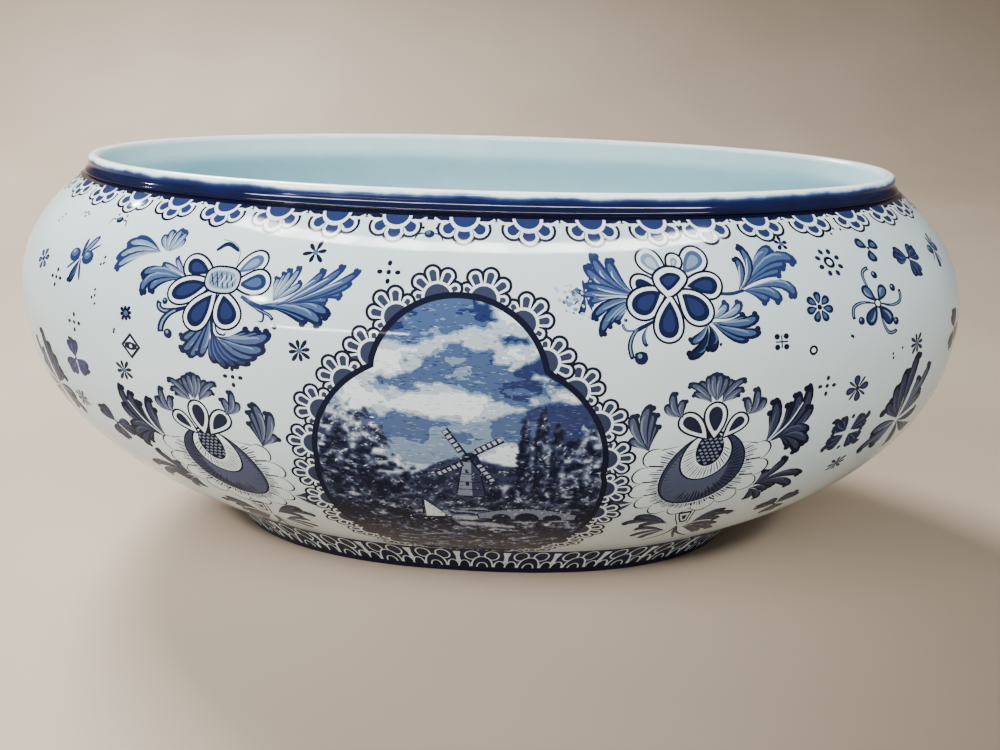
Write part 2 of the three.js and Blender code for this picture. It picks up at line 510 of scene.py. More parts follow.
def blossom(pen, petals=7, radius=5.5, width=2.9, turn=90, fill=MID, centre=1.0):
    for i in range(petals):
        angle = 360 * i / petals + turn
        root = 0.2 if petals > 4 else 0.08
        pen.lay(leaf(polar(root * radius, angle), polar(radius, angle), width, 0.5, 9), DARK)
        pen.lay(leaf(polar(0.35 * radius, angle), polar(0.8 * radius, angle), width * 0.45, 0.4, 7), fill)
    dot(pen, (0, 0), centre, LINE, n=8)


def scrolled_flower(pen):
    """Four oval petals between four scrolls that end in balls."""
    for angle, curl in ((108, -1), (176, 1), (282, 1), (352, 1)):
        stops = ((1.5, 0), (7.0, -4), (11.5, 6), (13.0, 24), (10.6, 34))
        scroll(pen, [polar(r, angle + curl * turn) for r, turn in stops], 1.5, 1.5)
    for angle, width, length in ((48, 4.4, 8.0), (128, 4.4, 8.4), (228, 5.2, 9.4), (306, 5.2, 9.6)):
        pen.lay(leaf(polar(1.0, angle), polar(length, angle), width, 0.5, 12), DARK)
        inner = leaf(polar(2.6, angle), polar(length - 1.0, angle), width - 1.6, 0.5, 10)
        pen.lay(inner, DEEP if angle > 180 else MID)
        pen.lay(leaf(polar(3.2, angle), polar(length - 1.6, angle), 0.9, 0.5, 6, side=0.9), LIGHT)
    dot(pen, (0, 0), 1.8, LINE, n=12)
    dot(pen, (0, 0), 1.1, WHITE, n=10)


def cross_leaf(pen):
    """Four notched leaves set crosswise, with a dot between each pair."""
    size = 11.0
    for angle in (38, 142, 218, 322):
        root = polar(1.3, angle)
        for turn, reach in ((-21, 0.78), (21, 0.78), (0, 1.0)):
            lobe(pen, root, polar(size * 0.5, angle + turn * 1.1), polar(size * reach, angle + turn), 2.8,
                 HEAVY)
    for angle in (90, 180, 270, 0):
        dot(pen, polar(size * 0.62, angle), 1.0, LINE, 0.8, angle, 8)


def ball_sprig(pen, size=1.0):
    """Two balls beside a stalk with long leaves above and below."""
    unit = MovedStamp(pen, (0, 0), 0, size)
    for angle, reach, width in ((62, 10.5, 2.9), (93, 7.5, 1.6), (38, 10.0, 1.0), (222, 8.5, 1.0),
                                (291, 9.5, 1.2)):
        unit.lay(leaf((0, 0), polar(reach, angle), width, 0.4, 8), DEEP)
        if width > 2:
            unit.lay(leaf(polar(2.0, angle), polar(reach * 0.9, angle), width * 0.4, 0.4, 6), LIGHT)
    lobe(unit, (0, -0.5), (-0.8, -5), (-2.4, -10.5), 3.4, INKY)
    for x in (-3.9, 3.9):
        dot(unit, (x, 0.3), 3.2, DEEP, 0.86, n=14)
        dot(unit, (x - 0.7, 1.0), 1.9, MID, 0.8, n=12)
        dot(unit, (x - 1.2, 1.5), 0.9, LIGHT, 0.8, n=8)


def leaf_sprig(pen, turn=0.0, size=1.0):
    """Three lobed leaves on one stalk."""
    for angle in (100, 228, 322):
        unit = MovedStamp(pen, (0, 0), angle + turn, size)
        stroke(unit, [(-0.3, 0), (2.0, 0)], 0.9, DARK, 0)
        for y in (2.2, -2.2, 0.0):
            lobe(unit, (0.6, 0), (4.0, y * 1.25), (8.2 - 0.5 * abs(y), y), 3.1, INKY)


def moth(pen):
    """A ball with two feelers and small dots."""
    dot(pen, (0, 0), 1.7, DARK, 0.8, n=10)
    dot(pen, (-0.4, 0.5), 0.8, MID, n=7)
    for side in (-1, 1):
        stroke(pen, [(1.4 * side, 0.2), (3.6 * side, -0.2), (4.6 * side, -2.2)], 0.6)
        dot(pen, (2.2 * side, 2.0), 0.55, LINE, n=7)


def marks(pen, places):
    for x, y in places:
        dot(pen, (x, y), 0.65, LINE, 0.8, 70, 7)


# Large motifs

def hatched_cap(pen, centre, rx, ry):
    """A rounded oblong that is shaded with slanting strokes."""
    angle = np.linspace(0, 2 * np.pi, 28, endpoint=False)
    c, s = np.cos(angle), np.sin(angle)
    pebble = np.stack([np.sign(c) * np.abs(c) ** 0.75, np.sign(s) * np.abs(s) ** 0.75], -1)
    place = lambda by: np.asarray(centre) + pebble * (rx - by, ry - by)
    pen.lay(place(-0.7), LINE)
    pen.lay(place(0.0), PALE)
    pen.lay(place(1.1), LIGHT)
    cx, cy = centre
    for i in range(-2, 3):
        x = cx + i * (rx - 1.4) * 0.38
        h = (ry - 1.5) * math.sqrt(max(0.1, 1 - (i / 2.9) ** 2))
        stroke(pen, [(x - 1.0, cy + h), (x + 0.8, cy - h)], 0.5, DARK, 0.2)
        stroke(pen, [(x + 0.9, cy + h * 0.8), (x - 0.7, cy - h * 0.8)], 0.35, DEEP if i < 0 else WHITE, 0.2)


def left_spray(pen):
    """The flower with a hatched cap, with leaves on both sides."""
    feather(pen, (-27.5, 7), 4.2, [(-34, 10.5, -41, 10.5), (-36.5, 11.5, -44.5, 8), (-39, 9.5, -47, 2),
            (-39.5, 6.5, -46.5, -1.5)], SOFT)
    feather(pen, (-25, 7.5), 3.1, [(-21, 9.5, -20, 13), (-22.5, 11, -20, 15.5), (-25, 11, -22.5, 16.5),
            (-28, 12.5, -26, 15.5), (-29.5, 10.5, -28.5, 13.5)], SOFT, -1)
    feather(pen, (-14, 0), 2.6, [(-17.5, 2.5, -20.5, 6), (-19, 2, -25.5, 3.5)], SOFT)
    feather(pen, (-13, -1), 4.4, [(-27.5, 3, -33.5, -2), (-27.5, -0.5, -28, -7.5), (-33.5, 1.5, -31, -9)],
            FIRM, -1)
    scroll(pen, [(-9, -9), (-15.5, -11.5), (-21, -12.5), (-23.2, -11), (-22.5, -9), (-20.8, -9.2)],
           2.3, 1.2)
    scroll(pen, [(-11, -10), (-17.5, -12.5), (-21, -16), (-21.8, -20), (-18.8, -20.2)], 2.8, 1.8)
    stroke(pen, [(-2, -10), (-1.5, -14.5), (-1, -19)], 1.3, DARK, 0.2)
    feather(pen, (-2.2, -11), 4.2, [(-6, -19, -14, -21.5), (-6.5, -21.5, -14, -26),
            (-5, -23.5, -11, -27.5), (-2.5, -21, -6.5, -27)])
    feather(pen, (-0.8, -17), 4.2, [(-2, -24, 0, -28.5), (-0.5, -26.5, 5, -29.5), (1.5, -25.5, 9, -29),
            (4.5, -26.5, 13.5, -27)], FULL, -1)
    feather(pen, (0, -18.5), 5.0, [(8, -21.5, 13, -15.5), (12, -21.5, 17, -15), (7.5, -26, 16, -24),
            (12, -24.5, 19, -21), (15, -21.5, 20.5, -15.5)])
    stroke(pen, [(-0.5, -14), (1, -17.5), (3.5, -18), (4, -17)], 0.7, DARK)
    scroll(pen, [(9, -5.5), (14.5, -8), (19.5, -10), (21.5, -13.5)], 1.2, 0.9)
    stroke(pen, [(14.5, -8.5), (17, -9.5), (17, -12), (15.5, -12)], 0.8, DEEP)
    stroke(pen, [(8, -4.5), (15.5, -7.3), (23, -7)], 1.6, DEEP, 0.3)
    feather(pen, (14, -6.8), 4.8, [(28, -6, 32.5, -11.5), (33, -3.5, 40, -8.5),
            (32.5, -5.5, 37.5, -11.8)])
    feather(pen, (19.5, -5), 3.0, [(25.5, -1.5, 28, 2), (19.5, -0.5, 19.5, 3.2), (21, 0, 21.5, 5),
            (22, -0.5, 23, 6.5), (24, -0.5, 26, 7.5)], SOFT)
    feather(pen, (20.5, -6.5), 3.6, [(31.5, -0.5, 34.5, 7), (35.5, -1.5, 38, -4), (38.5, 1, 42.5, -2),
            (39.5, -1, 44.5, 3), (39.5, -1, 46, 7.5), (35, -0.5, 40.5, 8.8)], FADED)
    stroke(pen, [(-6, 10), (-2.5, 12.6), (2.5, 10.5)], 1.6, DARK, 0.4)
    stroke(pen, [(-5, 14), (0, 13), (3, 10), (3.4, 6)], 0.4, LIGHT, 0)
    petal(pen, (-3.5, 1), (-16, 4), 8.0, (-10, 4.2))
    # This upper petal is filled light: a painted highlight, where the glaze's bright reflection crosses the
    # spray's top.
    petal(pen, (3, 2), (13, 9.8), 7.0, fill=LIGHT, shade=MID)
    petal(pen, (-3.5, -1), (-19.5, -7.5), 8.6, (-10, -2.5))
    petal(pen, (4, -0.5), (16.5, 2.2), 8.0, (11, -0.5), fill=MID, shade=DEEP)
    petal(pen, (-1.5, -3), (-10.5, -17), 9.2)
    petal(pen, (1, -3), (5.5, -15.4), 9.8, (3, -9))
    hatched_cap(pen, (-0.2, 0.3), 6.2, 4.2)


def right_spray(pen):
    """The flower with a heart-shaped middle petal, with leaves on both sides."""
    feather(pen, (-12.5, -1.3), 4.4, [(-19, 2.5, -19, 10.8), (-22, 1, -24, 12.5), (-24, 0.5, -27, 8.5)],
            FADED)
    feather(pen, (-12.5, -2), 3.2, [(-22.5, 0, -28.5, -4.5), (-23.5, 0, -31, -1.5), (-21.5, 1, -29, 1.8)],
            FADED)
    feather(pen, (-12.5, -3), 3.6, [(-19, -5.5, -20.5, -10.5), (-21, -5.5, -23.5, -12),
            (-23, -4.5, -25.5, -15), (-21.5, -1.5, -28, -9.5)])
    rng = np.random.default_rng(3)
    for _ in range(46):                              # the print is smudged off one leaf
        x, y = rng.normal(0, 1, 2) * (2.1, 2.4)
        ink = (PALE, PALE, LIGHT, MID)[int(rng.integers(4))]
        dot(pen, (-32.8 + x, -2.4 + y), rng.uniform(0.4, 1.0), ink, 0.7, rng.uniform(0, 180), 6)
    stroke(pen, [(-6, -8.5), (-9, -10.5), (-14.5, -13.5)], 1.0, DARK, 0.3)
    scroll(pen, [(-8.5, -10), (-14, -13), (-16.2, -17.5), (-15.2, -22), (-12.6, -21.8)], 1.7, 2.3)
    scroll(pen, [(-10, -11.5), (-16, -13), (-18, -11.5), (-17, -9.5)], 0.9, 0.6)
    lobe(pen, (-9.5, -11), (-13, -14.5), (-10.8, -18.2), 1.5)
    feather(pen, (9.8, -11), 3.6, [(7.5, -16, 3.5, -17.2)])
    feather(pen, (9.8, -11), 4.6, [(10, -19.5, 2.8, -22.2), (13, -15.5, 10.6, -20.5)], HEAVY)
    feather(pen, (11, -10.5), 4.4, [(17, -15.5, 24, -17.2), (20.5, -13, 23.5, -9), (23, -13.5, 28, -9),
            (21, -16.5, 28.5, -14.5)])
    feather(pen, (11.5, -9.5), 3.8, [(15, -8.5, 17.5, -4.5), (20.5, -9.5, 22, -4)], SOFT)
    stroke(pen, [(15, -1.6), (19.5, -1.7), (24, -0.8)], 1.2, DEEP, 0.2)
    feather(pen, (23, -1), 4.6, [(30, -1, 32, -5.2), (34, 0, 37, -5.2), (43, 4, 42, -4.8)], EVEN)
    feather(pen, (23.5, -0.5), 4.8, [(33, 12, 38, 12.8), (34.5, 7, 39, 4.3), (36.5, 10.5, 41.5, 6.2),
            (38, 15, 46, 7)], EVEN)
    feather(pen, (21.5, -1.5), 3.6, [(26.5, 5, 23.5, 10.5), (32, 6, 25.5, 14.8)], (DARK, MID, PALE))
    # The three upper petals are filled pale: a painted highlight, where the glaze's bright reflection
    # crosses the spray's top.
    petal(pen, (-1.5, 4), (-8.2, 12.6), 7.4, fill=PALE, shade=LIGHT)
    petal(pen, (3, 4), (12.2, 12.8), 8.0, fill=LIGHT, shade=MID)
    petal(pen, (0.5, 5), (3.2, 11.6), 4.6, fill=PALE, shade=LIGHT)
    petal(pen, (-4, 1), (-13.3, 2.3), 6.2)
    petal(pen, (2.5, 0.8), (16.2, 0.6), 8.4, (10, 2.0))
    petal(pen, (-2.5, 0), (-14.2, -8), 9.4, (-9, -2))
    petal(pen, (1, -0.5), (9.6, -11), 9.8, (6, -3.5))
    petal(pen, (-1.5, -1.5), (-4, -16.6), 9.2)
    heart = curve([(-2.6, -2.2), (-5.4, 1.6), (-5.2, 5.0), (-1.2, 7.3), (3.2, 6.6), (5.0, 3.6),
                   (1.6, -0.2), (-2.0, -2.4)], 32)
    pen.lay(grown(heart, 0.8)[1:-1], LINE)
    pen.lay(heart[:-1], WHITE)
    pen.lay(inset(heart[:-1], 1.7), DARK)
    pen.lay(inset(heart[:-1], 2.7), DEEP)


FRUIT_CENTRE = np.array([0.6, -5.6])


def fruit_leaves(pen):
    """The leaves beside and below the fruit."""
    feather(pen, (-21.5, 5), 4.6, [(-25.5, 9, -29.5, 10), (-23, 13, -20.8, 16), (-29.5, 13.5, -29.3, 20),
            (-24.5, 15.5, -22, 20.5), (-27.5, 16.5, -23.5, 23.5)])
    feather(pen, (20.5, 5.5), 5.0, [(26, 9, 29.5, 14.2), (23, 14, 20.2, 19), (24, 13, 20.6, 23.5),
            (30, 13, 26.5, 21.5)], FULL)
    feather(pen, (22.5, 6), 4.8, [(30.5, 17, 27.8, 21.5), (32, 16.5, 29, 25), (35.5, 14, 33.3, 27.6),
            (35, 11.5, 35.6, 19.5)], FULL, -1)
    stroke(pen, [(20.4, 5), (27.5, 12.5), (31.8, 20.5)], 0.55, WHITE, 0.3)
    feather(pen, (25, 7.5), 5.0, [(29, 7.5, 32, 2.5), (31.5, 8.5, 36, -1), (30.5, 12.5, 37.5, 8.5),
            (33.5, 9.5, 38.6, 3)], FULL)
    feather(pen, (24.5, -16), 4.8, [(29.5, -13, 35, -18), (28, -11.5, 27, -7.5), (34.5, -11.5, 43, -20),
            (29.5, -10, 33, -2), (34, -8, 44.5, -13)], FULL)
    feather(pen, (24, -17.5), 3.8, [(27, -21, 27, -25), (29, -19.5, 32, -26), (28.5, -16, 33, -20.5)],
            FULL)
    feather(pen, (-19, -21), 4.0, [(-24, -22, -28.5, -19), (-22, -26, -26.5, -27.5)], FULL)
    feather(pen, (3, -39.5), 4.6, [(-3.5, -36.5, -8, -40.5), (-8, -30, -13.5, -32), (-10, -32, -16, -38)],
            FULL)
    feather(pen, (6.5, -47.5), 4.4, [(2, -48.5, 0, -56), (-3, -41.5, -8, -43.5), (-1, -45, -5.5, -52)],
            FULL)
    feather(pen, (13.5, -41.5), 4.4, [(17.5, -35.5, 24.5, -40), (14.5, -30.5, 22.5, -31.5),
            (17, -32, 28, -35)], FULL)
    feather(pen, (12, -45.5), 4.6, [(17, -46, 25, -55), (14, -38.5, 27.5, -46), (16.5, -42, 30, -53)],
            FULL)
    for bend, end in (((9, -53), (4, -60)), ((12, -51), (18, -61)), ((14, -52), (23, -60))):
        stroke(pen, [(9, -43.5), bend, end], 1.2, DARK)


def fruit_ruffle(pen):
    """The pale ruffle round the fruit: a scalloped edge with fine folds."""
    lobes = 11
    start, turn = 146, 250
    share = np.linspace(0, 1, 15 * lobes + 1)
    swing = np.abs(np.sin(np.pi * lobes * share)) ** 0.6
    for more, ink in ((0.65, LINE), (0.0, WHITE)):
        spread = np.stack([20.8 + more + 3.9 * swing, 19.4 + more + 4.7 * swing], -1)
        edge = FRUIT_CENTRE + polar(1.0, start + turn * share) * spread
        edge[:, 1] -= 1.4 * np.sin(np.pi * share)
        pen.lay(np.concatenate([edge, [FRUIT_CENTRE + (9, 13), FRUIT_CENTRE + (-9, 13)]]), ink)
    rng = np.random.default_rng(5)
    for i in range(lobes):
        middle = start + turn * (i + 0.5) / lobes
        for k in range(-3, 4):
            way = polar(1.0, middle + k * turn / lobes / 7.5)
            long = 0.5 + 0.42 * (1 - abs(k) / 3) + rng.uniform(-0.1, 0.1)
            near = FRUIT_CENTRE + way * (14.6, 18.0)
            far = FRUIT_CENTRE + way * (14.6 + 5.0 * long, 18.0 + 4.0 * long)
            stroke(pen, [near, far], 0.42 if k % 2 else 0.65, (MID, LIGHT, DEEP)[abs(k) % 3], 0.3)
    for i in range(1, lobes):
        way = polar(1.0, start + turn * i / lobes)
        stroke(pen, [FRUIT_CENTRE + way * (15.4, 18.6), FRUIT_CENTRE + way * (21.0, 20.4)], 0.7, LINE, 0)


def fruit_body(pen):
    """The round striped fruit with its netted core."""
    rng = np.random.default_rng(6)
    skin = ellipse(FRUIT_CENTRE, 14.8, 17.8, -6, 44)
    pen.lay(skin, LINE)
    pen.lay(inset(skin, 0.6), DEEP)
    pen.lay(ellipse(FRUIT_CENTRE + (-2.2, -0.8), 11.0, 15.4, -4, 32), MID)
    for i in range(44):
        angle = 150 + 262 * i / 43
        outer = FRUIT_CENTRE + polar(1.0, angle) * (14.0, 17.0)
        share = rng.uniform(0.72, 0.9) if angle < 250 else rng.uniform(0.56, 0.76)
        inner = toward(FRUIT_CENTRE, outer, share)
        stroke(pen, [outer, inner], 0.4 if angle < 250 else 0.8, DEEP if angle < 250 else DARK, 0.7)
    inner = np.array([-0.2, 1.4])
    pen.lay(ellipse(inner, 9.4, 11.0, 0, 32), LINE)
    pen.lay(ellipse(inner, 8.7, 10.3, 0, 32), WHITE)
    for i in range(24):
        way = polar(1.0, 165 + 210 * i / 23)
        stroke(pen, [inner + (0.4, 2.2) + way * (5.2, 7.0), inner + way * (8.4, 10.0)],
               0.5 if i % 2 else 0.32, MID if i % 3 else DEEP, 0.5)
    core = np.array([0.2, 4.6])
    pen.lay(ellipse(core, 5.0, 7.4, 8, 26), LINE)
    for i in range(-3, 4):
        for j in range(-4, 5):
            x, y = i * 1.8 + (j % 2) * 0.9, j * 1.5
            if (x / 4.3) ** 2 + (y / 6.6) ** 2 < 1:
                pen.lay(core + [(x - 0.75, y), (x, y - 0.62), (x + 0.75, y), (x, y + 0.62)], LIGHT)


def fruit(pen):
    """The fruit in its ruffle, with a plume on top and a footed stem below."""
    fruit_leaves(pen)
    cup = np.array([[1.0, -29.0], [8.0, -27.5], [9.5, -34], [11.5, -41], [8.5, -41.8], [5.0, -36.5]])
    pen.lay(grown(cup, 0.5), LINE)
    for share, ink in ((1.0, WHITE), (0.74, DARK), (0.5, WHITE), (0.28, DARK)):
        pen.lay(toward(cup.mean(0), cup, share), ink)
    fruit_ruffle(pen)
    fruit_body(pen)
    petal(pen, (-2.4, 9.6), (-12.6, 18.2), 6.8, (-7.5, 15), 1.15, DARK)
    petal(pen, (3.8, 9.8), (10.2, 17.8), 6.0, (7.4, 14.6), 1.1, DARK)
    petal(pen, (0.4, 9.6), (-1.6, 22.8), 7.4, (0, 16), 1.2, DARK)
    feather(pen, (-2.8, 23), 3.2, [(-6, 26.2, -9.8, 27), (-4.5, 28.5, -8, 31), (-5.5, 29, -11.8, 30.2)])
    feather(pen, (0.8, 23), 3.2, [(3.5, 25.2, 6.5, 26.2), (1.5, 29, 3.8, 31.2), (3.5, 26.5, 8.2, 27.8),
            (2, 29, 8.8, 31.2)], FIRM, -1)
    feather(pen, (-1.1, 23.6), 3.4, [(-4.5, 28, -5, 33), (1.5, 28, 1.6, 32.6), (-3, 29.5, -3.2, 33.8),
            (-0.5, 29, -0.8, 33.8)])
    feather(pen, (-12, 18), 3.6, [(-14, 21, -12.6, 24.8), (-18, 19.5, -18.2, 23.4),
            (-17, 21, -16.5, 27.8)])
    feather(pen, (10.4, 18), 3.6, [(11.2, 20, 9.4, 24.6), (16.5, 19, 16.2, 24), (14.5, 19.5, 13, 28.2)],
            FIRM, -1)


def end_plume(pen):
    """The tall leaves at the pot's ends."""
    feather(pen, (0, -7), 5.6, [(-8, -3, -12, 1), (-8, 1, -10, 8), (-7, 5, -6.5, 14), (-3.5, 10, -1, 20)],
            FULL)
    feather(pen, (1, -7), 5.0, [(6.5, -1, 10, 3), (3.5, 3, 4.5, 10), (6, 4, 10.5, 15)])
    feather(pen, (0, -8), 5.8, [(-8, -8, -12, -13), (-4, -12, -5.5, -20), (-7, -13, -12.5, -21)])
    feather(pen, (1, -8), 5.0, [(8, -8, 13, -5), (10, -13, 16, -14), (6, -15, 9, -21)], FULL)
    dot(pen, (-12, -3.4), 1.9, DARK)


# The medallion

ARCH = (0.0, 16.5, 29.0)              # the middle and the radius of the arch on top
LOBE = (11.5, -13.0, 38.5)            # the same of the right lobe
BASE = (0.0, -20.0, 50.6, 67.5)       # the middle, the half length and the half height of the base
NOTCH = (28.3, 22.0)                  # where the arch meets the right lobe
LACE_UNITS = 25
FRAME_PETALS = ((-76, 7.9, 3.5), (76, 7.9, 3.5), (-38, 9.4, 4.2), (38, 9.4, 4.2), (0, 9.7, 4.2))
PICTURE_LEFT, PICTURE_RIGHT, PICTURE_LOW, PICTURE_HIGH = -54, 54, -90, 48
PICTURE_GRIDS = (1.3, 2.2)            # between the points of the front picture, and of the back one
PICTURE_LEVELS = (0.12, 0.24, 0.38, 0.53, 0.68, 0.84)       # the tones at which one ink follows another
PICTURE_REACH = 0.15                  # a picture's share of the way round is less than this on each side
DABS = 3800


def medallion_outline():
    """An arch on top, two side lobes, and a half oval below. Counter-clockwise."""
    heading = lambda c, p: math.degrees(math.atan2(p[1] - c[1], p[0] - c[0]))
    first = heading(ARCH, NOTCH)
    arch = polar(ARCH[2], np.linspace(first, 180 - first, 40)) + ARCH[:2]
    right = polar(LOBE[2], np.linspace(-8, heading(LOBE, NOTCH), 18)) + LOBE[:2]
    left = right[::-1] * (-1, 1)
    low = math.degrees(math.atan2((right[0][1] - BASE[1]) / BASE[3], right[0][0] / BASE[2]))
    base = polar(1.0, np.linspace(180 - low, 360 + low, 56))[1:-1] * BASE[2:] + BASE[:2]
    return np.concatenate([right[:-1], arch[:-1], left[:-1], base])


SCATTER_X, SCATTER_Y, SCATTER_SEED, SCATTER_SIZE = 127.1, 311.7, 74.7, 43758.5453


def noise(x, y, seed):
    """Smooth noise, 0 to 1, between scattered values at whole x and y."""
    xi, yi = np.floor(x), np.floor(y)
    fx, fy = x - xi, y - yi
    fx, fy = fx * fx * (3 - 2 * fx), fy * fy * (3 - 2 * fy)

    def corner(i, j):
        v = np.sin((xi + i) * SCATTER_X + (yi + j) * SCATTER_Y + seed * SCATTER_SEED) * SCATTER_SIZE
        return v - np.floor(v)

    low = corner(0, 0) * (1 - fx) + corner(1, 0) * fx
    high = corner(0, 1) * (1 - fx) + corner(1, 1) * fx
    return low * (1 - fy) + high * fy


def cloudy(x, y, seed, octaves=4):
    """Noise of several sizes, each half as wide and less strong than the one before."""
    total, weight, norm = 0.0, 1.0, 0.0
    for i in range(octaves):
        total = total + weight * noise(x * 2 ** i, y * 2 ** i, seed + 13 * i)
        norm += weight
        weight *= 0.6
    return total / norm


def ramp(value, low, high):
    """A soft step from 0 to 1 as the value goes from low to high."""
    t = np.clip((value - low) / (high - low), 0, 1)
    return t * t * (3 - 2 * t)


def over(tone, mask, new):
    """The new tone laid over the old one where the mask is 1."""
    return tone * (1 - mask) + mask * new


# Clumps of trees: middle, half width, half height, and how dark they are.
CLUMPS = [(-37, -10, 13, 17, 0.62), (-26, -22, 10, 11, 0.70), (-45, -34, 9, 16, 0.78),
          (43, -16, 9, 17, 0.66), (33, -25, 8, 9, 0.60), (47, -38, 8, 12, 0.78), (-30, -45, 16, 9, 0.86),
          (-12, -50, 11, 7, 0.76), (34, -55, 15, 8, 0.84), (14, -60, 12, 6, 0.74), (-36, -60, 14, 8, 0.88),
          (4, -28, 6, 4, 0.55), (18, -28, 7, 5, 0.60)]
# Poplars: middle, foot, top, and the number that makes each one's edge its own.
POPLARS = [(22.5, -32, 6, 1), (28.0, -33, 12, 2), (33.5, -33, 5, 3)]


def landscape(p):
    """A made-up river landscape: the darkness, 0 to 1, at points of the medallion, and what is land."""
    x, y = p[:, 0], p[:, 1]
    sky = 0.40 + 0.20 * ramp(np.abs(x + 4) + 0.5 * y, 12, 46) + 0.30 * (cloudy(x / 7, y / 2.4, 3, 4) - 0.5)
    heap = cloudy(x / 17 + 7, y / 8 + 5, 8, 5) + 0.10 * np.sin(x / 11 + y / 9 + 1.2)
    heap = heap + 0.06 * np.sin(y / 4.5)
    cloud = ramp(heap, 0.47, 0.58)
    tone = sky * (1 - 0.93 * cloud)
    tone = tone + 0.18 * ramp(heap, 0.52, 0.60) * ramp(0.66 - heap, 0, 0.05)
    tone *= 0.45 + 0.55 * ramp(y, -24, 0)
    ridge = -17 + 5.0 * np.sin(x / 15 + 0.6) + 2.6 * np.sin(x / 6.5 + 2)
    land = ramp(ridge - y, -0.6, 0.6)
    tone = over(tone, land, 0.36 + 0.6 * cloudy(x / 3.0, y / 1.6, 21, 4))
    low = -27 + 2.0 * np.sin(x / 12 - 1.2) + 2.0 * cloudy(x / 2.2, x * 0, 6)
    tone = over(tone, ramp(low - y, -0.5, 0.5), 0.52 + 1.3 * (cloudy(x / 3.4, y / 2.2, 31, 4) - 0.42))
    bank = -39 + 2.2 * np.sin(x / 9) - 0.06 * x
    shore = -56 + 4.5 * np.sin(x / 16 + 1.9)
    water = ramp(bank - y, -0.5, 0.5) * ramp(y - shore, -0.5, 0.5)
    tone = over(tone, water, 0.20 + 0.75 * ramp(cloudy(x / 7, y / 0.95, 17, 3), 0.44, 0.66))
    grass = cloudy(x / 3.4 + y / 4, y / 1.2 - x / 12, 27, 4)
    tone = over(tone, ramp(shore - y, -0.5, 0.5), 0.30 + 0.8 * ramp(grass, 0.36, 0.64))
    for seed, (cx, cy, rx, ry, dark) in enumerate(CLUMPS):
        ragged = 1.7 * (cloudy(x / 2.6, y / 2.4, 40 + seed, 3) - 0.5)
        edge = 1 - ((x - cx) / rx) ** 2 - ((y - cy) / ry) ** 2 + ragged
        lit = 0.26 * ((x - cx) / rx * 0.6 + (y - cy) / ry)
        leaves = 2.2 * (cloudy(x / 2.6, y / 2.0, 60 + seed, 3) - 0.5)
        mask = ramp(edge, -0.03, 0.07)
        tone = over(tone, mask, np.clip(dark - lit + leaves, 0.1, 1))
        land = np.maximum(land, mask)
    for cx, foot, top, seed in POPLARS:
        h = np.clip((y - foot) / (top - foot), 0.02, 1)
        half = 2.7 * np.sin(np.pi * h ** 0.8) ** 0.6 + 1.3 * (cloudy(x / 1.4, y / 1.4, 80 + seed, 2) - 0.5)
        mask = ramp(half - np.abs(x - cx), -0.2, 0.3) * ramp(y - foot, -1, 1) * ramp(top - y, -0.5, 0.5)
        leaves = 1.3 * (cloudy(x / 1.1, y / 2.0, 90 + seed, 2) - 0.5)
        tone = over(tone, mask, np.clip(0.76 - 0.1 * (x - cx) + leaves, 0.1, 1))
        land = np.maximum(land, mask)
    return np.clip(tone, 0, 1), land


def windmill(pen, x, y):
    mill = MovedStamp(pen, (x, y))
    mill.lay([(-5.5, 0), (5.5, 0), (2.8, 18), (-2.8, 18)], LINE)
    mill.lay([(-4.9, 0.4), (0.4, 0.4), (0.2, 17.6), (-2.4, 17.6)], LIGHT)
    mill.lay([(0.4, 0.4), (4.9, 0.4), (2.4, 17.6), (0.2, 17.6)], DEEP)
    for level in (4.0, 8.0, 12.0):
        stroke(mill, [(-5.0 + 0.16 * level, level), (5.0 - 0.16 * level, level)], 0.45, DARK, 0)
    mill.lay(curve([(-3.4, 18), (-2.6, 20.6), (0, 22), (2.6, 20.6), (3.4, 18)], 12), DARK)
    for height in (6.0, 12.5):
        mill.lay([(-1.8, height), (-0.6, height), (-0.6, height + 2.2), (-1.8, height + 2.2)], LINE)
    hub = np.array([-0.4, 19.6])
    for angle in (32, 122, 212, 302):
        side = polar(2.3, angle + 90)
        stroke(mill, [hub, hub + polar(14, angle)], 0.8, LINE, 0)
        near, far = hub + polar(3.4, angle), hub + polar(13.6, angle)
        mill.lay([near, far, far + side, near + side], DARK)
        for i in range(5):
            a, b = hub + polar(4.2 + 2.0 * i, angle), hub + polar(5.4 + 2.0 * i, angle)
            mill.lay([a + side * 0.15, b + side * 0.15, b + side * 0.85, a + side * 0.85], PALE)


def bridge(pen, x, y):
    span = MovedStamp(pen, (x, y))
    deck = curve([(-18, 4.4), (-9, 7.6), (0, 8.8), (9, 7.6), (18, 4.4)], 18)
    span.lay(np.concatenate([[(18, 0), (-18, 0)], deck])[::-1], LINE)
    span.lay(np.concatenate([[(17.4, 0.4), (-17.4, 0.4)], deck - (0, 0.7)])[::-1], LIGHT)
    for centre, r in ((-9.4, 3.2), (0, 4.2), (9.4, 3.2)):
        arch = polar(r, np.linspace(0, 180, 12)) * (1, 1.1) + (centre, 0.2)
        span.lay(grown(arch, 0.5), DARK)
        span.lay(arch, LINE)
    for i in range(16):
        at = -16 + 32 * i / 15
        top = 4.9 + 3.4 * math.cos(math.pi * at / 40)
        stroke(span, [(at, top - 1.2), (at, top + 0.2)], 0.35, DARK, 0)


def boat(pen, x, y):
    hull = MovedStamp(pen, (x, y))
    hull.lay(curve([(-9, 1), (-5, -1.8), (4, -2.0), (9.5, 1.4), (0, 0.4)], 14)[::-1], LINE)
    stroke(hull, [(0, 0), (0.3, 13)], 0.6, LINE, 0)
    sail = curve([(0.9, 1.2), (8.0, 2.2), (5.0, 7.5), (0.9, 12.4)], 12)
    hull.lay(grown(sail, 0.4), LINE)
    hull.lay(sail, WHITE)
    for i in range(3):
        low = 1.7 * i
        stroke(hull, [(-8 + 2 * i, -3.4 - low), (0, -3.8 - low), (7 - i, -3.3 - low)], 0.5, DARK)


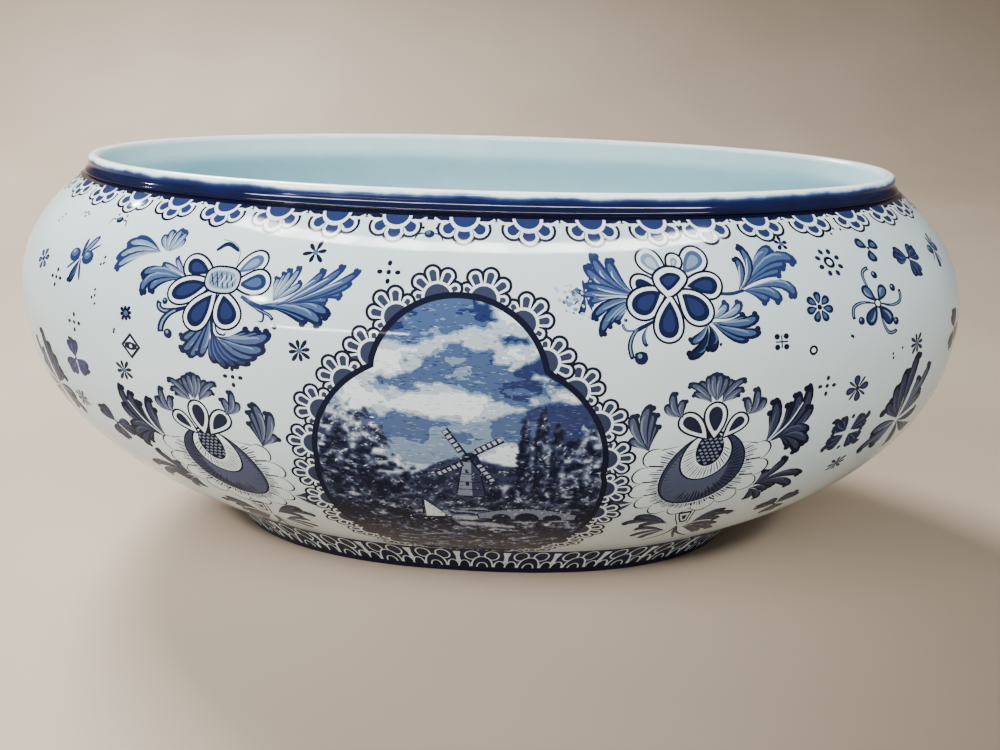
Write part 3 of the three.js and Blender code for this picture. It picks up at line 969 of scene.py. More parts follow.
def engraving(pen, inside):
    """Short dabs, darker or lighter than what is under them, as an engraver's needle leaves."""
    sky = MovedStamp(pen, (0, 0))
    # The sky's dabs keep the cobalt inks, without the painted shade.
    sky.slate = False
    rng = np.random.default_rng(12)
    spots = rng.uniform((-50, -86), (50, 45), (DABS, 2))
    spots = spots[inside(spots)]
    for (x, y), dark, ground in zip(spots, *landscape(spots)):
        step = int(np.searchsorted(PICTURE_LEVELS, dark))
        if ground < 0.5:
            long, fat, slope = rng.uniform(0.9, 2.8), rng.uniform(0.22, 0.36), rng.uniform(-8, 8)
            step += int(rng.choice((-1, 1)))
        else:
            long, fat, slope = rng.uniform(0.8, 2.0), rng.uniform(0.3, 0.55), rng.uniform(-50, 70)
            step += int(rng.choice((-3, -2, 2, 2)))
        if WHITE <= step <= LINE:
            needle = pen if ground > 0.5 else sky
            needle.lay(ellipse((x, y), long / 2, fat / 2, slope, 4), step)


def medallion(pen, pictures):
    """The framed landscape. Its pen joins the pictures, which are shaded after the sheet is cut."""
    outline = medallion_outline()
    closed = np.concatenate([outline, outline[:1]])
    way = way_along(closed)
    at = lambda s: np.array([np.interp(s % way[-1], way, closed[:, k]) for k in (0, 1)])
    for i in range(LACE_UNITS):
        s = way[-1] * (i + 0.5) / LACE_UNITS
        ahead = at(s + 1.5) - at(s - 1.5)
        unit = MovedStamp(pen, at(s), math.degrees(math.atan2(ahead[1], ahead[0])) - 90)
        lace(unit, 5.1, FRAME_PETALS, 0.95, 0.9)
    pen.lay(grown(outline, 1.1), LINE)
    pen.lay(grown(outline, -0.95), PICTURE)
    pictures.append(pen)
    windmill(pen, 4, -31)
    bridge(pen, 24, -46)
    boat(pen, -14, -47)
    if len(pictures) == 1:                           # the front has the finer print
        engraving(pen, inside_picture)


def inside_picture(p):
    """Which points lie inside the medallion's picture."""
    outline = grown(medallion_outline(), -1.6)
    x, y = p[:, 0], p[:, 1]
    inside = np.zeros(len(p), bool)
    for (ax, ay), (bx, by) in zip(outline, np.roll(outline, -1, 0)):
        crosses = (ay > y) != (by > y)
        with np.errstate(divide="ignore", invalid="ignore"):
            inside ^= crosses & (x < ax + (y - ay) * (bx - ax) / (by - ay))
    return inside


# The printed sheets

PITCH = 20.67                         # of the borders' repeats
LACE_MEASURE_DROP = 5.3               # how far below the collar the upper border's repeat is measured
LACE_STARTS = ((-126.14, 6), (-0.39, 4), (79.06, 6))    # where each run of the border starts, and its units
RIM_PETALS = ((-38, 9.2, 5.7), (-142, 9.2, 5.7), (-90, 8.7, 6.4))


def spaced(starts, girth):
    """The places of a repeat that starts anew at some places and fills the rest evenly."""
    ways = [start + PITCH * i for start, count in starts for i in range(count)]
    rest = girth - (ways[-1] - ways[0])
    count = round(rest / PITCH)
    return ways + [ways[-1] + rest * i / count for i in range(1, count)]


def on_sheet(way, surface, girth):
    """The same place, counted within the sheet that starts and ends at the seam."""
    way = (way + girth / 2) % girth - girth / 2
    return way - girth if way > surface.seam_u * girth else way


def band(sheet, surface, low, high, ink):
    """A plain band all round. It needs many points, since a long edge would cut across the pot."""
    u = surface.seam_u + np.linspace(-1.02, 0.02, 201)
    edges = [np.stack([way, np.full(len(u), z)], -1) for way, z in ((u, low), (u[::-1], high))]
    sheet.append((np.concatenate(edges), ink))


def rim_lace(sheet):
    """The border of half flowers that hangs from the collar."""
    girth = float(BOWL.around(COLLAR_Z - LACE_MEASURE_DROP))
    grow = float(BOWL.around(COLLAR_Z)) / girth
    ways = [on_sheet(way, BOWL, girth) * grow for way in spaced(LACE_STARTS, girth)]
    stamps = [Stamp(sheet, BOWL, way, COLLAR_Z) for way in ways]
    for pen in stamps:
        lace(pen, 4.85, RIM_PETALS, 0.9, 1.05)
    band(sheet, BOWL, COLLAR_Z - 1.0, COLLAR_Z + 1, LINE)
    for pen in stamps:
        for rx, ry, ink in ((4.85, 4.4, WHITE), (3.85, 3.4, DEEP)):
            pen.lay([p for p in ellipse((0, 0), rx, ry, 0, 32) if p[1] < 0.1], ink)
        for side in (-1, 1):
            stroke(pen, [(9.6 * side, -0.5), (7.7 * side, -1.7), (5.6 * side, -1.5)], 0.95, WHITE, 0.3)


# Where the small motifs are: the way along the ring from the front, and the height.
STARS = ((-53.2, 122), (-125.1, 105.4), (169.7, 119.4), (142.6, 73.6), (-156.3, 86.2))
DOTS = ((-161.4, 133), (-149.8, 118.9), (-23.6, 148.2), (-78.2, 110.2), (126.7, 110))
MARKS = ((-137.1, 130.2, (0, 2.5), (0.4, 0.4), (-1.2, -0.6), (0.8, -2.6)),
         (-133, 142.2, (0, 1.6), (0.6, -0.6), (-0.8, -1.2)),
         (-149.7, 155.2, (-1.6, 0.4), (0, 0.8), (1.6, 0.2), (0.2, -1.0)),
         (-168.3, 151.8, (-0.6, -1.6), (0.4, 0.2), (1.2, 1.8)), (-127.7, 119.2, (0, 0), (0.3, 1.0)),
         (134.5, 126.4, (0, 0.4), (0.6, 0)), (159.2, 117.8, (-3.0, 0), (2.0, 1.4), (-2.6, -1.6)),
         (128.5, 159.5, (-2.5, -1.4), (0, 0.6), (3.0, 0)), (57.5, 124.5, (-1.5, 0.5), (1.5, 0.5)),
         (84, 127.5, (0, 0)))


def bowl_side(pictures, at):
    """The motifs of one long side of the bowl."""
    for way, z in STARS:
        star(at(way, z))
    star(at(-121, 126.8), 3.2)
    star(at(-48.0, 152.6), 4.4, 6)
    star(at(105.2, 156.8), 3.0, 5)
    for way, z in DOTS:
        dots(at(way, z))
    diamond(at(-120.0, 115.4))
    square(at(106.0, 127.2))
    ring(at(118.8, 123.4))
    dotted_ring(at(124.4, 150.4))
    blossom(at(119.9, 137.2))
    blossom(at(143.5, 153.2), 3, 5.6, 4.4, 20, MID, 0.6)
    scrolled_flower(at(145.9, 136.2))
    for turn, width, reach in ((55, 1.0, 5.2), (12, 2.9, 5.2)):
        blossom(at(140.8, 107.2), 4, reach, width, turn, DEEP)
    cross_leaf(at(141.3, 89.2))
    ball_sprig(at(-146.2, 142))
    ball_sprig(at(188.5, 148.5), 0.75)
    leaf_sprig(at(-152.4, 104.5))
    leaf_sprig(at(165.6, 148.2), 60)
    blossom(at(-173.9, 137.4), 6, 4.4, 2.2, 80, MID)
    moth(at(-128.6, 155.6))
    moth(at(-11.3, 159.5))
    ball_sprig(at(38.4, 143.5), 0.6)
    for way, z, *places in MARKS:
        marks(at(way, z), places)
    left_spray(at(-80.4, 141.8))
    right_spray(at(66.9, 144.6))
    # The motifs low on the pot take the greyer inks: painted shade.
    fruit(at(84.6, 84.6, slate=True))
    fruit(at(-90.4, 76.4, turn=6, mirror=True, slate=True))
    end_plume(at(171, 96, turn=-6, slate=True))
    end_plume(at(-176, 94, turn=8, mirror=True, scale=0.85, slate=True))
    leaf_sprig(at(-138, 80, slate=True), 30, 1.1)
    leaf_sprig(at(122.5, 53, slate=True), 200, 1.2)
    leaf_sprig(at(205, 118, slate=True), 10, 1.1)
    fruit(at(236, 82, slate=True))
    medallion(at(-0.9, 97.4, slate=True), pictures)


def printed_bowl():
    """The bowl's printed shapes with their inks, and the pens of the two pictures."""
    sheet, pictures = [], []
    rim_lace(sheet)
    for side in (0, 1):
        def at(way, z, **more):
            girth = float(BOWL.around(z))
            return Stamp(sheet, BOWL, on_sheet(way + side * girth / 2, BOWL, girth), z, **more)
        bowl_side(pictures, at)
    return sheet, pictures


def arch(pen, foot, half, rise, stroke_width, fill=LINE):
    """A round arch with a white edge, with the middle of its foot, half its width and its rise."""
    angle = np.linspace(0, 180, 17)
    pen.lay(polar(1.0, angle) * (half, rise) + foot, WHITE)
    pen.lay(polar(1.0, angle) * (half - stroke_width, rise - stroke_width) + foot, fill)


def foot_unit(pen, height):
    """One repeat of the foot's border: loops behind a round arch, between two low arches and bones."""
    for side in (-1, 1):
        for shrink, ink in ((0.0, WHITE), (0.68, DARK)):
            pen.lay(ellipse((4.3 * side, 0.72 * height), 3.4 - shrink, 0.235 * height - shrink, 0, 18), ink)
        arch(pen, (7.7 * side, 0.2 * height), 2.8, 0.27 * height, 0.68)
    arch(pen, (0, 0.2 * height), 5.0, 0.48 * height, 0.75, DARK)
    arch(pen, (0, 0.19 * height), 2.6, 0.2 * height, 0.6)
    middle = 0.635 * height
    for side in (-1, 1):
        bone = [(PITCH / 2 * side + x, middle + y * 0.26 * height) for x, y in
                ((-1.1, -1), (-0.6, 0), (-1.1, 1), (1.1, 1), (0.6, 0), (1.1, -1))]
        pen.lay(bone, WHITE)


def printed_foot():
    """The foot's printed shapes with their inks."""
    sheet = []
    middle = FOOT_TOP[2] / 2
    girth = float(FOOT.around(middle))
    grow = float(FOOT.around(0.0)) / girth
    height = float(FOOT.rise[-1])
    for way in spaced(((-77.98, 9),), girth):
        foot_unit(Stamp(sheet, FOOT, on_sheet(way, FOOT, girth) * grow, 0.0), height)
    band(sheet, FOOT, -1.0, 0.19 * FOOT_TOP[2], LINE)
    return sheet


NEAR_EDGE, WELD = 2e-3, 1e-5          # how near counts as on the sheet's edge, and as the same point


def flat_of(surface, p):
    """Points (u, z) laid out flat in millimetres, with z as the way up the surface."""
    beyond = np.maximum(p[:, 1] - surface.top, 0) + np.minimum(p[:, 1] - surface.bottom, 0)
    return np.stack([p[:, 0] * surface.width, np.interp(p[:, 1], surface.z, surface.rise) + beyond], -1)


def sheet_edges(surface):
    """The flat sheet's left, right and upper edge. Its lower edge is at 0."""
    return (surface.seam_u - 1) * surface.width, surface.seam_u * surface.width, surface.rise[-1]


def on_surface(surface, flat):
    """The other way. Points at the sheet's edges are put right on them."""
    flat = np.array(flat)
    left, right, top = sheet_edges(surface)
    for axis, edge in ((0, left), (0, right), (1, 0.0), (1, top)):
        flat[np.abs(flat[:, axis] - edge) < NEAR_EDGE, axis] = edge
    return np.stack([flat[:, 0] / surface.width, np.interp(flat[:, 1], surface.rise, surface.z)], -1)


def grid_points(surface):
    """The points round the sheet's edge, and a staggered grid of points inside it."""
    left, right, top = sheet_edges(surface)
    xs = np.linspace(left, right, round((right - left) / surface.spacing[0]) + 1)
    ys = np.linspace(0, top, round(top / surface.spacing[1]) + 1)
    border = [(x, 0.0) for x in xs[:-1]] + [(right, y) for y in ys[:-1]]
    border += [(x, top) for x in xs[:0:-1]] + [(left, y) for y in ys[:0:-1]]
    half = 0.5 * (xs[1] - xs[0])
    inner = [(x + (half if j % 2 else 0), y) for j, y in enumerate(ys[1:-1]) for x in xs[1:-1]]
    return np.array(border), np.array([p for p in inner if p[0] < right - 1])


def cut_out(surface, sheet, pictures=()):
    """Cuts the surface into the printed shapes and what is left between them.

    Gives the points (u, z), the triangles, and the ink of each triangle."""
    left, right, _ = sheet_edges(surface)
    border, inner = grid_points(surface)
    points, faces, inks, total = [border], [list(range(len(border)))], [GROUND], len(border)
    for shape, ink in sheet:
        flat = flat_of(surface, shape)
        if area(flat) < 0:
            flat = flat[::-1]
        for turn in (-surface.width, 0.0, surface.width):
            if flat[:, 0].max() + turn < left or flat[:, 0].min() + turn > right:
                continue
            points.append(flat + (turn, 0.0))
            faces.append(list(range(total, total + len(flat))))
            inks.append(ink)
            total += len(flat)
    points.append(inner)
    for pen, grid in zip(pictures, PICTURE_GRIDS):
        rows = np.arange(PICTURE_LOW, PICTURE_HIGH, grid * 0.87)
        box = np.stack(np.meshgrid(np.arange(PICTURE_LEFT, PICTURE_RIGHT, grid), rows), -1)
        box[1::2, :, 0] += grid / 2
        box = box.reshape(-1, 2)
        points.append(flat_of(surface, pen.place(box[inside_picture(box)])))
    found = delaunay_2d_cdt([Vector(p) for p in np.concatenate(points)], [], faces, 1, WELD)
    verts, tris, origin = found[0], found[2], found[5]
    keep = [(t, max(o)) for t, o in zip(tris, origin) if 0 in o]
    flat = [(v[0], v[1]) for v in verts]
    return on_surface(surface, flat), np.array([t for t, _ in keep]), np.array([inks[o] for _, o in keep])


def ink_borders(triangles, ink, total):
    """The edges between two inks, with the ink on the left and on the right of each."""
    sides = np.concatenate([triangles[:, [0, 1]], triangles[:, [1, 2]], triangles[:, [2, 0]]])
    side_ink = np.tile(ink, 3)
    key, back = sides[:, 0] * total + sides[:, 1], sides[:, 1] * total + sides[:, 0]
    order = np.argsort(key)
    at = np.minimum(np.searchsorted(key[order], back), len(key) - 1)
    paired = key[order][at] == back
    other = np.where(paired, side_ink[order][at], OUTSIDE)
    keep = (other != side_ink) & (~paired | (key < back))
    return sides[keep], side_ink[keep], other[keep]


def flood(triangles, ink_beside):
    """The ink of each triangle: the one beside any of the borders that close its patch."""
    neighbours = {}
    for t, (a, b, c) in enumerate(triangles):
        for side in ((a, b), (b, c), (c, a)):
            neighbours.setdefault(frozenset(side), []).append(t)
    result = [None] * len(triangles)
    for first in range(len(triangles)):
        if result[first] is not None:
            continue
        patch, waiting, tone = [first], [first], GROUND
        result[first] = GROUND
        while waiting:
            a, b, c = triangles[waiting.pop()]
            for side in ((a, b), (b, c), (c, a)):
                if side in ink_beside:
                    tone = ink_beside[side]
                    continue
                fresh = [t for t in neighbours[frozenset(side)] if result[t] is None]
                for t in fresh:
                    result[t] = GROUND
                patch += fresh
                waiting += fresh
        for t in patch:
            result[t] = tone
    return np.array(result)


def thinned(surface, uz, triangles, ink):
    """The same inks with fewer triangles: only the edges between two inks stay, and the sheet's grid."""
    sides, left, right = ink_borders(triangles, ink, len(uz))
    used, number = np.unique(sides, return_inverse=True)
    number = number.reshape(-1, 2)
    flat = flat_of(surface, uz[used])
    points = [Vector(p) for p in np.concatenate([flat, grid_points(surface)[1]])]
    found = delaunay_2d_cdt(points, [tuple(map(int, e)) for e in number], [], 0, WELD / 10)
    verts, edges, tris, _, edge_origin, _ = found
    verts = np.array([(v[0], v[1]) for v in verts])
    ink_beside = {}
    for (a, b), origin in zip(edges, edge_origin):
        if origin:
            k = origin[0]
            along = flat[number[k, 1]] - flat[number[k, 0]]
            same_way = np.dot(verts[b] - verts[a], along) > 0
            pair = (int(left[k]), int(right[k]))
            ink_beside[a, b], ink_beside[b, a] = pair if same_way else pair[::-1]
    return on_surface(surface, verts), np.array(tris), flood(tris, ink_beside)


def shade_pictures(uz, triangles, ink, pictures):
    """Splits the pictures' triangles along lines of equal tone, and inks them."""
    tone, land = np.zeros(len(uz)), np.zeros(len(uz))
    for pen in pictures:
        marked = np.unique(triangles[ink == PICTURE])
        near = marked[np.abs(uz[marked, 0] - pen.u) < PICTURE_REACH]
        tone[near], land[near] = landscape(pen.local(uz[near, 0], uz[near, 1]))
    uz, tone, land = list(map(tuple, uz)), list(tone), list(land)
    tris = [tuple(t) for t in triangles]
    inks = list(ink)
    for level in PICTURE_LEVELS:
        cuts, out, out_ink = {}, [], []

        def cut(a, b):
            key = (a, b) if a < b else (b, a)
            if key not in cuts:
                t = (level - tone[a]) / (tone[b] - tone[a])
                t = min(max(t, 0.02), 0.98)
                pa, pb = uz[a], uz[b]
                uz.append((pa[0] + (pb[0] - pa[0]) * t, pa[1] + (pb[1] - pa[1]) * t))
                tone.append(level)
                land.append(0.5 * (land[a] + land[b]))
                cuts[key] = len(uz) - 1
            return cuts[key]

        for (a, b, c), k in zip(tris, inks):
            sides = (tone[a] >= level, tone[b] >= level, tone[c] >= level)
            if sides[0] == sides[1] == sides[2] or level in (tone[a], tone[b], tone[c]):
                out.append((a, b, c))
                out_ink.append(k)
                continue
            if sides[0] == sides[1]:
                a, b, c = c, a, b
            elif sides[0] == sides[2]:
                a, b, c = b, c, a
            p, q = cut(a, b), cut(a, c)
            out += [(a, p, q), (p, b, c), (p, c, q)]
            out_ink += [k, k, k]
        tris, inks = out, out_ink
    tone = np.array(tone)
    tris, inks = np.array(tris), np.array(inks)
    shade = np.searchsorted(PICTURE_LEVELS, tone[tris].mean(1))          # from WHITE to LINE
    # The picture's land takes the greyer inks: painted shade, as it lies low on the pot.
    shade = shade + SHADED_COPY * ((shade > WHITE) & (np.array(land)[tris].mean(1) > 0.5))
    return np.array(uz), tris, np.where(inks == PICTURE, shade, inks)


# Building the meshes

CREASE_ANGLE = math.radians(38)
RING_POINTS, COLLAR_POINTS = 144, 216
WALL_RINGS, DISH_RINGS = 55, 8


def add_object(name, data):
    """Puts an object with this mesh, lamp or camera into the scene."""
    thing = bpy.data.objects.new(name, data)
    bpy.context.scene.collection.objects.link(thing)
    return thing


class Body:
    """A closed body made of printed faces and of lofted rings."""

    def __init__(self):
        self.points, self.faces, self.slots, self.normals = [], [], [], {}

    def add_points(self, points):
        first = len(self.points)
        self.points += [tuple(p) for p in np.asarray(points)]
        return first

    def face(self, corners, slot):
        if len(set(corners)) == len(corners):
            self.faces.append(tuple(corners))
            self.slots.append(slot)

    def ring(self, axes, z, count=RING_POINTS):
        """Adds an oval and gives its points' numbers and angles. An oval with no length is a point."""
        if axes[0] <= 0:
            return [self.add_points([(0, 0, z)])], [0.0]
        angle = np.linspace(-np.pi, np.pi, count, endpoint=False)
        level = np.full(count, float(z))
        first = self.add_points(oval(np.broadcast_to(axes, (count, 2)), level, angle))
        return list(range(first, first + count)), list(angle)

    def join(self, low, high, slot):
        """A strip of faces from one ring to the next. Seen with the first below, it faces outward."""
        (a, angle_a), (b, angle_b) = low, high
        m, n = len(a), len(b)
        if 1 in (m, n) or (m == n and np.allclose(angle_a, angle_b)):
            for i in range(max(m, n)):
                corners = (a[i % m], a[(i + 1) % m], b[(i + 1) % n], b[i % n])
                self.face(dict.fromkeys(corners), slot)
            return
        i = j = 0
        at_a, at_b = (list(angle) + [angle[0] + 2 * math.pi] for angle in (angle_a, angle_b))
        while i < m or j < n:
            if j >= n or (i < m and at_a[i + 1] <= at_b[j + 1]):
                self.face((a[i], a[(i + 1) % m], b[j % n]), slot)
                i += 1
            else:
                self.face((a[i % m], b[(j + 1) % n], b[j]), slot)
                j += 1

    def loft(self, rings, slots):
        for i in range(len(rings) - 1):
            self.join(rings[i], rings[i + 1], slots if isinstance(slots, int) else slots[i])

    def print_face(self, surface, uz, triangles, slot_of):
        """Adds a printed surface, and gives its lowest and highest ring."""
        used = np.unique(triangles)
        normals = surface.normal(uz[used, 0], uz[used, 1])
        left, right = uz[used, 0].min(), uz[used, 0].max()
        at_left, at_right = (sorted((uz[i, 1], int(i)) for i in used if abs(uz[i, 0] - edge) < SAME_PLACE)
                             for edge in (left, right))
        if len(at_left) != len(at_right):
            raise ValueError("the seam's two sides differ: %d and %d" % (len(at_left), len(at_right)))
        first = self.add_points(surface.point(uz[:, 0], uz[:, 1]))
        number = {int(i): first + int(i) for i in used}
        for (_, i), (_, j) in zip(at_left, at_right):
            number[j] = first + i
        for tri, slot in zip(triangles, slot_of):
            self.face([number[int(i)] for i in tri], int(slot))
        for i, n in zip(used, normals):
            self.normals[number[int(i)]] = n
        rings = []
        for z in (surface.bottom, surface.top):
            edge = [int(i) for i in used if abs(uz[i, 1] - z) < 1e-6 and abs(uz[i, 0] - right) > SAME_PLACE]
            angle = surface.angle(uz[edge, 0], uz[edge, 1])
            angle = (angle + np.pi) % (2 * np.pi) - np.pi
            order = np.argsort(angle)
            rings.append(([number[edge[k]] for k in order], list(angle[order])))
        return rings

    def build(self, name, materials, printed_slots):
        used = sorted({i for f in self.faces for i in f})
        renumber = {old: new for new, old in enumerate(used)}
        mesh = bpy.data.meshes.new(name)
        mesh.from_pydata([[c * MM for c in self.points[i]] for i in used], [],
                         [[renumber[i] for i in f] for f in self.faces])
        for material in materials:
            mesh.materials.append(material)
        mesh.polygons.foreach_set("material_index", self.slots)
        mesh.polygons.foreach_set("use_smooth", [True] * len(self.faces))
        mesh.set_sharp_from_angle(angle=CREASE_ANGLE)
        custom = {renumber[i]: n for i, n in self.normals.items() if i in renumber}
        corner_normals = []
        for polygon, slot in zip(mesh.polygons, self.slots):
            for v in polygon.vertices:
                n = custom.get(v) if slot in printed_slots else None
                corner_normals.append(tuple(n) if n is not None else (0.0, 0.0, 0.0))
        mesh.normals_split_custom_set(corner_normals)
        mesh.validate()
        return add_object(name, mesh)


# Materials

def colour(code):
    """The linear colour of a six-figure code."""
    parts = [int(code[i:i + 2], 16) / 255 for i in (0, 2, 4)]
    return tuple(c / 12.92 if c <= 0.04045 else ((c + 0.055) / 1.055) ** 2.4 for c in parts) + (1.0,)


def grey(value):
    return (value, value, value, 1.0)


GLAZE_IOR = 1.42


class Glaze:
    """A glossy material and short ways to add its nodes."""

    def __init__(self, name, shine=0.5, roughness=0.1):
        self.material = bpy.data.materials.new(name)
        self.material.use_nodes = True
        self.nodes, self.links = self.material.node_tree.nodes, self.material.node_tree.links
        self.shader = self.nodes["Principled BSDF"]
        self.shader.inputs["Roughness"].default_value = roughness
        self.shader.inputs["IOR"].default_value = GLAZE_IOR
        self.shader.inputs["Specular IOR Level"].default_value = shine
        self.place = self.nodes.new("ShaderNodeTexCoord").outputs["Object"]

    def noise(self, scale, detail=3.0, rough=0.55):
        node = self.nodes.new("ShaderNodeTexNoise")
        node.inputs["Scale"].default_value = scale
        node.inputs["Detail"].default_value = detail
        node.inputs["Roughness"].default_value = rough
        self.links.new(self.place, node.inputs["Vector"])
        return node.outputs["Fac"]

    def ramp(self, source, *stops):
        node = self.nodes.new("ShaderNodeValToRGB")
        self.links.new(source, node.inputs["Fac"])
        elements = node.color_ramp.elements
        while len(elements) < len(stops):
            elements.new(0.5)
        for element, (at, tone) in zip(elements, stops):
            element.position = at
            element.color = colour(tone) if isinstance(tone, str) else grey(tone)
        return node.outputs["Color"]

    def sums(self, kind, first, second, third=None):
        node = self.nodes.new("ShaderNodeMath")
        node.operation = kind
        for socket, value in zip(node.inputs, (first, second, third)):
            if isinstance(value, (int, float)):
                socket.default_value = value
            elif value is not None:
                self.links.new(value, socket)
        return node.outputs["Value"]

    def mix(self, factor, a, b):
        node = self.nodes.new("ShaderNodeMix")
        node.data_type = "RGBA"
        for key, value in (("Factor", factor), ("A", a), ("B", b)):
            if isinstance(value, str):
                node.inputs[key].default_value = colour(value)
            else:
                self.links.new(value, node.inputs[key])
        return node.outputs["Result"]

    def finish(self, bump=0.06):
        """The glaze's own roughness, and its faint ripple and grain."""
        roughness = self.ramp(self.noise(38, 4), (0.3, 0.04), (0.7, 0.1))
        self.links.new(roughness, self.shader.inputs["Roughness"])
        rise = self.sums("MULTIPLY_ADD", self.noise(900, 2), 0.02, self.noise(55, 1))
        node = self.nodes.new("ShaderNodeBump")
        node.inputs["Strength"].default_value = bump
        node.inputs["Distance"].default_value = 0.0012
        self.links.new(rise, node.inputs["Height"])
        self.links.new(node.outputs["Normal"], self.shader.inputs["Normal"])
        return self.material


def ground_glaze(name, tones, pool, speck="8a94a0", pooled=0.35, shine=0.5):
    """A glaze in three close tones, with pooled patches and rare dark specks."""
    g = Glaze(name, shine)
    low, middle, high = tones
    base = g.ramp(g.noise(9, 3), (0.3, low), (0.5, middle), (0.7, high))
    tinted = g.mix(g.ramp(g.noise(60, 4), (0.35, 0.0), (0.75, pooled)), base, pool)
    cells = g.nodes.new("ShaderNodeTexVoronoi")
    cells.inputs["Scale"].default_value = 170
    g.links.new(g.place, cells.inputs["Vector"])
    specks = g.ramp(cells.outputs["Distance"], (0.045, 1.0), (0.075, 0.0))
    rare = g.ramp(g.noise(24, 2), (0.6, 0.0), (0.68, 0.6))
    final = g.mix(g.sums("MULTIPLY", specks, rare), tinted, speck)
    g.links.new(final, g.shader.inputs["Base Color"])
    return g.finish()


def ink_material(name, code, shine):
    g = Glaze(name, shine)
    g.shader.inputs["Base Color"].default_value = colour(code)
    return g.finish()


def collar_material():
    """Cobalt banded on by hand: near black below, and it runs up into the pale lip in soft scallops."""
    g = Glaze("collar_glaze")
    split = g.nodes.new("ShaderNodeSeparateXYZ")
    g.links.new(g.place, split.inputs["Vector"])
    above = g.sums("SUBTRACT", split.outputs["Z"], COLLAR_Z * MM)
    height = g.sums("DIVIDE", above, (OVERALL_HEIGHT - COLLAR_Z) * MM)
    washed = g.sums("MULTIPLY_ADD", g.noise(42, 3, 0.5), 0.42, height)
    shift = g.sums("MULTIPLY_ADD", g.noise(170, 3, 0.6), 0.12, washed)
    level = g.sums("SUBTRACT", shift, 0.27)
    tone = g.ramp(level, (0.0, "0a0b1e"), (0.42, "0e1330"), (0.66, "161f4c"), (0.76, "34508a"),
                  (0.83, "9cb8ca"), (0.89, "eef5f5"))
    g.links.new(tone, g.shader.inputs["Base Color"])
    return g.finish(bump=0.08)


WHITE_CODE = "d5e3e3"
COBALT_CODES = ("a5b4c0", "6f859d", "40547a", "222d56", "151b3b", "10132b")
# The greyer copies of the cobalt inks: painted shade for the lower print.
SHADED_INK_CODES = ("a2a9b2", "747c8e", "4b5268", "31374c", "202436", "161828")
INK_CODES = (WHITE_CODE,) + COBALT_CODES + SHADED_INK_CODES
SHINE = [0.5] + [0.45] * len(COBALT_CODES) + [0.06] * len(SHADED_INK_CODES)
FOOT_SHINE = 0.04
ink_materials = [ink_material("ink_" + name, *look) for name, *look in zip(INKS, INK_CODES, SHINE)]
foot_inks = [ink_material("foot_" + name, code, FOOT_SHINE) for name, code in zip(INKS, INK_CODES)]
body_glaze = ground_glaze("body_glaze", ("c3d6da", "cbdbdd", "d3e1e1"), "bed4d8", pooled=0.3)
inner_glaze = ground_glaze("inner_glaze", ("b2d2d8", "bad8dc", "c6dee1"), "9cbfd0", "6d8f9a")
foot_glaze = ground_glaze("foot_glaze", ("161d42", "121838", "1d2650"), "0e1228", "283464", shine=0.03)
biscuit = ground_glaze("foot_tread", ("cfc4b0", "d8cebb", "c4b8a2"), "b3a58c", "7d7260")
collar_glaze = collar_material()


# Pieces

GLAZE_SLOT = len(INKS)                # the slot after the inks holds the piece's own glaze
PRINTED_SLOTS = set(range(GLAZE_SLOT + 1))


def build_bowl():
    """The printed wall, the wall inside, and the floor from above and from below."""
    sheet, pictures = printed_bowl()
    uz, triangles, ink = shade_pictures(*cut_out(BOWL, sheet, pictures), pictures)
    uz, triangles, ink = thinned(BOWL, uz, triangles, ink)
    inside = GLAZE_SLOT + 1
    body = Body()
    bottom, top = body.print_face(BOWL, uz, triangles, np.where(ink == GROUND, GLAZE_SLOT, ink))
    throat = body.ring(THROAT, COLLAR_Z)
    body.join(top, throat, inside)
    rings = [throat]
    for z in np.linspace(COLLAR_Z, SEAM_Z, WALL_RINGS + 1)[1:]:
        rings.append(body.ring(smooth_inner_axes(z), z))
    seam = inner_axes(np.array(SEAM_Z))
    for i in range(1, DISH_RINGS + 1):
        inward = i / DISH_RINGS
        rings.append(body.ring(seam - DISH_REACH * inward, FLOOR_Z + DISH_RISE * (1 - inward) ** 2))
    for share in (0.66, 0.33, 0.0):
        rings.append(body.ring((seam - DISH_REACH) * share, FLOOR_Z))
    body.loft(rings, inside)
    under = [body.ring(FOOT_TOP[:2] * share, FOOT_TOP[2]) for share in (0.0, 0.3, 0.6, 0.9)]
    body.loft(under, GLAZE_SLOT)
    body.join(under[-1], bottom, GLAZE_SLOT)
    return body.build("bowl", ink_materials + [body_glaze, inner_glaze], PRINTED_SLOTS)


def build_foot():
    """The printed ring, its recess and its bare tread."""
    uz, triangles, ink = thinned(FOOT, *cut_out(FOOT, printed_foot()))
    tread = GLAZE_SLOT + 1
    body = Body()
    bottom, top = body.print_face(FOOT, uz, triangles, np.where(ink == GROUND, GLAZE_SLOT, ink))
    inner = FOOT_BOTTOM - FOOT_TREAD
    recess = [body.ring(inner + FOOT_INNER_FLARE * share, FOOT_TOP[2] * share) for share in (1.0, 0.5)]
    levels = ((inner + 0.8, 0.8), (inner + 1.6, 0.0), (FOOT_BOTTOM - 1.0, 0.0))
    under = [body.ring(axes, z) for axes, z in levels]
    rings = [top, *recess, *under, bottom]
    body.loft(rings, (GLAZE_SLOT, GLAZE_SLOT, GLAZE_SLOT, tread, tread, GLAZE_SLOT))
    return body.build("foot", foot_inks + [foot_glaze, biscuit], PRINTED_SLOTS)


def arc_rings(body, centre, z, radius, first, last, count, around):
    """The rings of a rounding in the section, from one angle to another."""
    angles = np.radians(np.linspace(first, last, count))
    return [body.ring(centre + radius * math.cos(a), z + radius * math.sin(a), around) for a in angles]


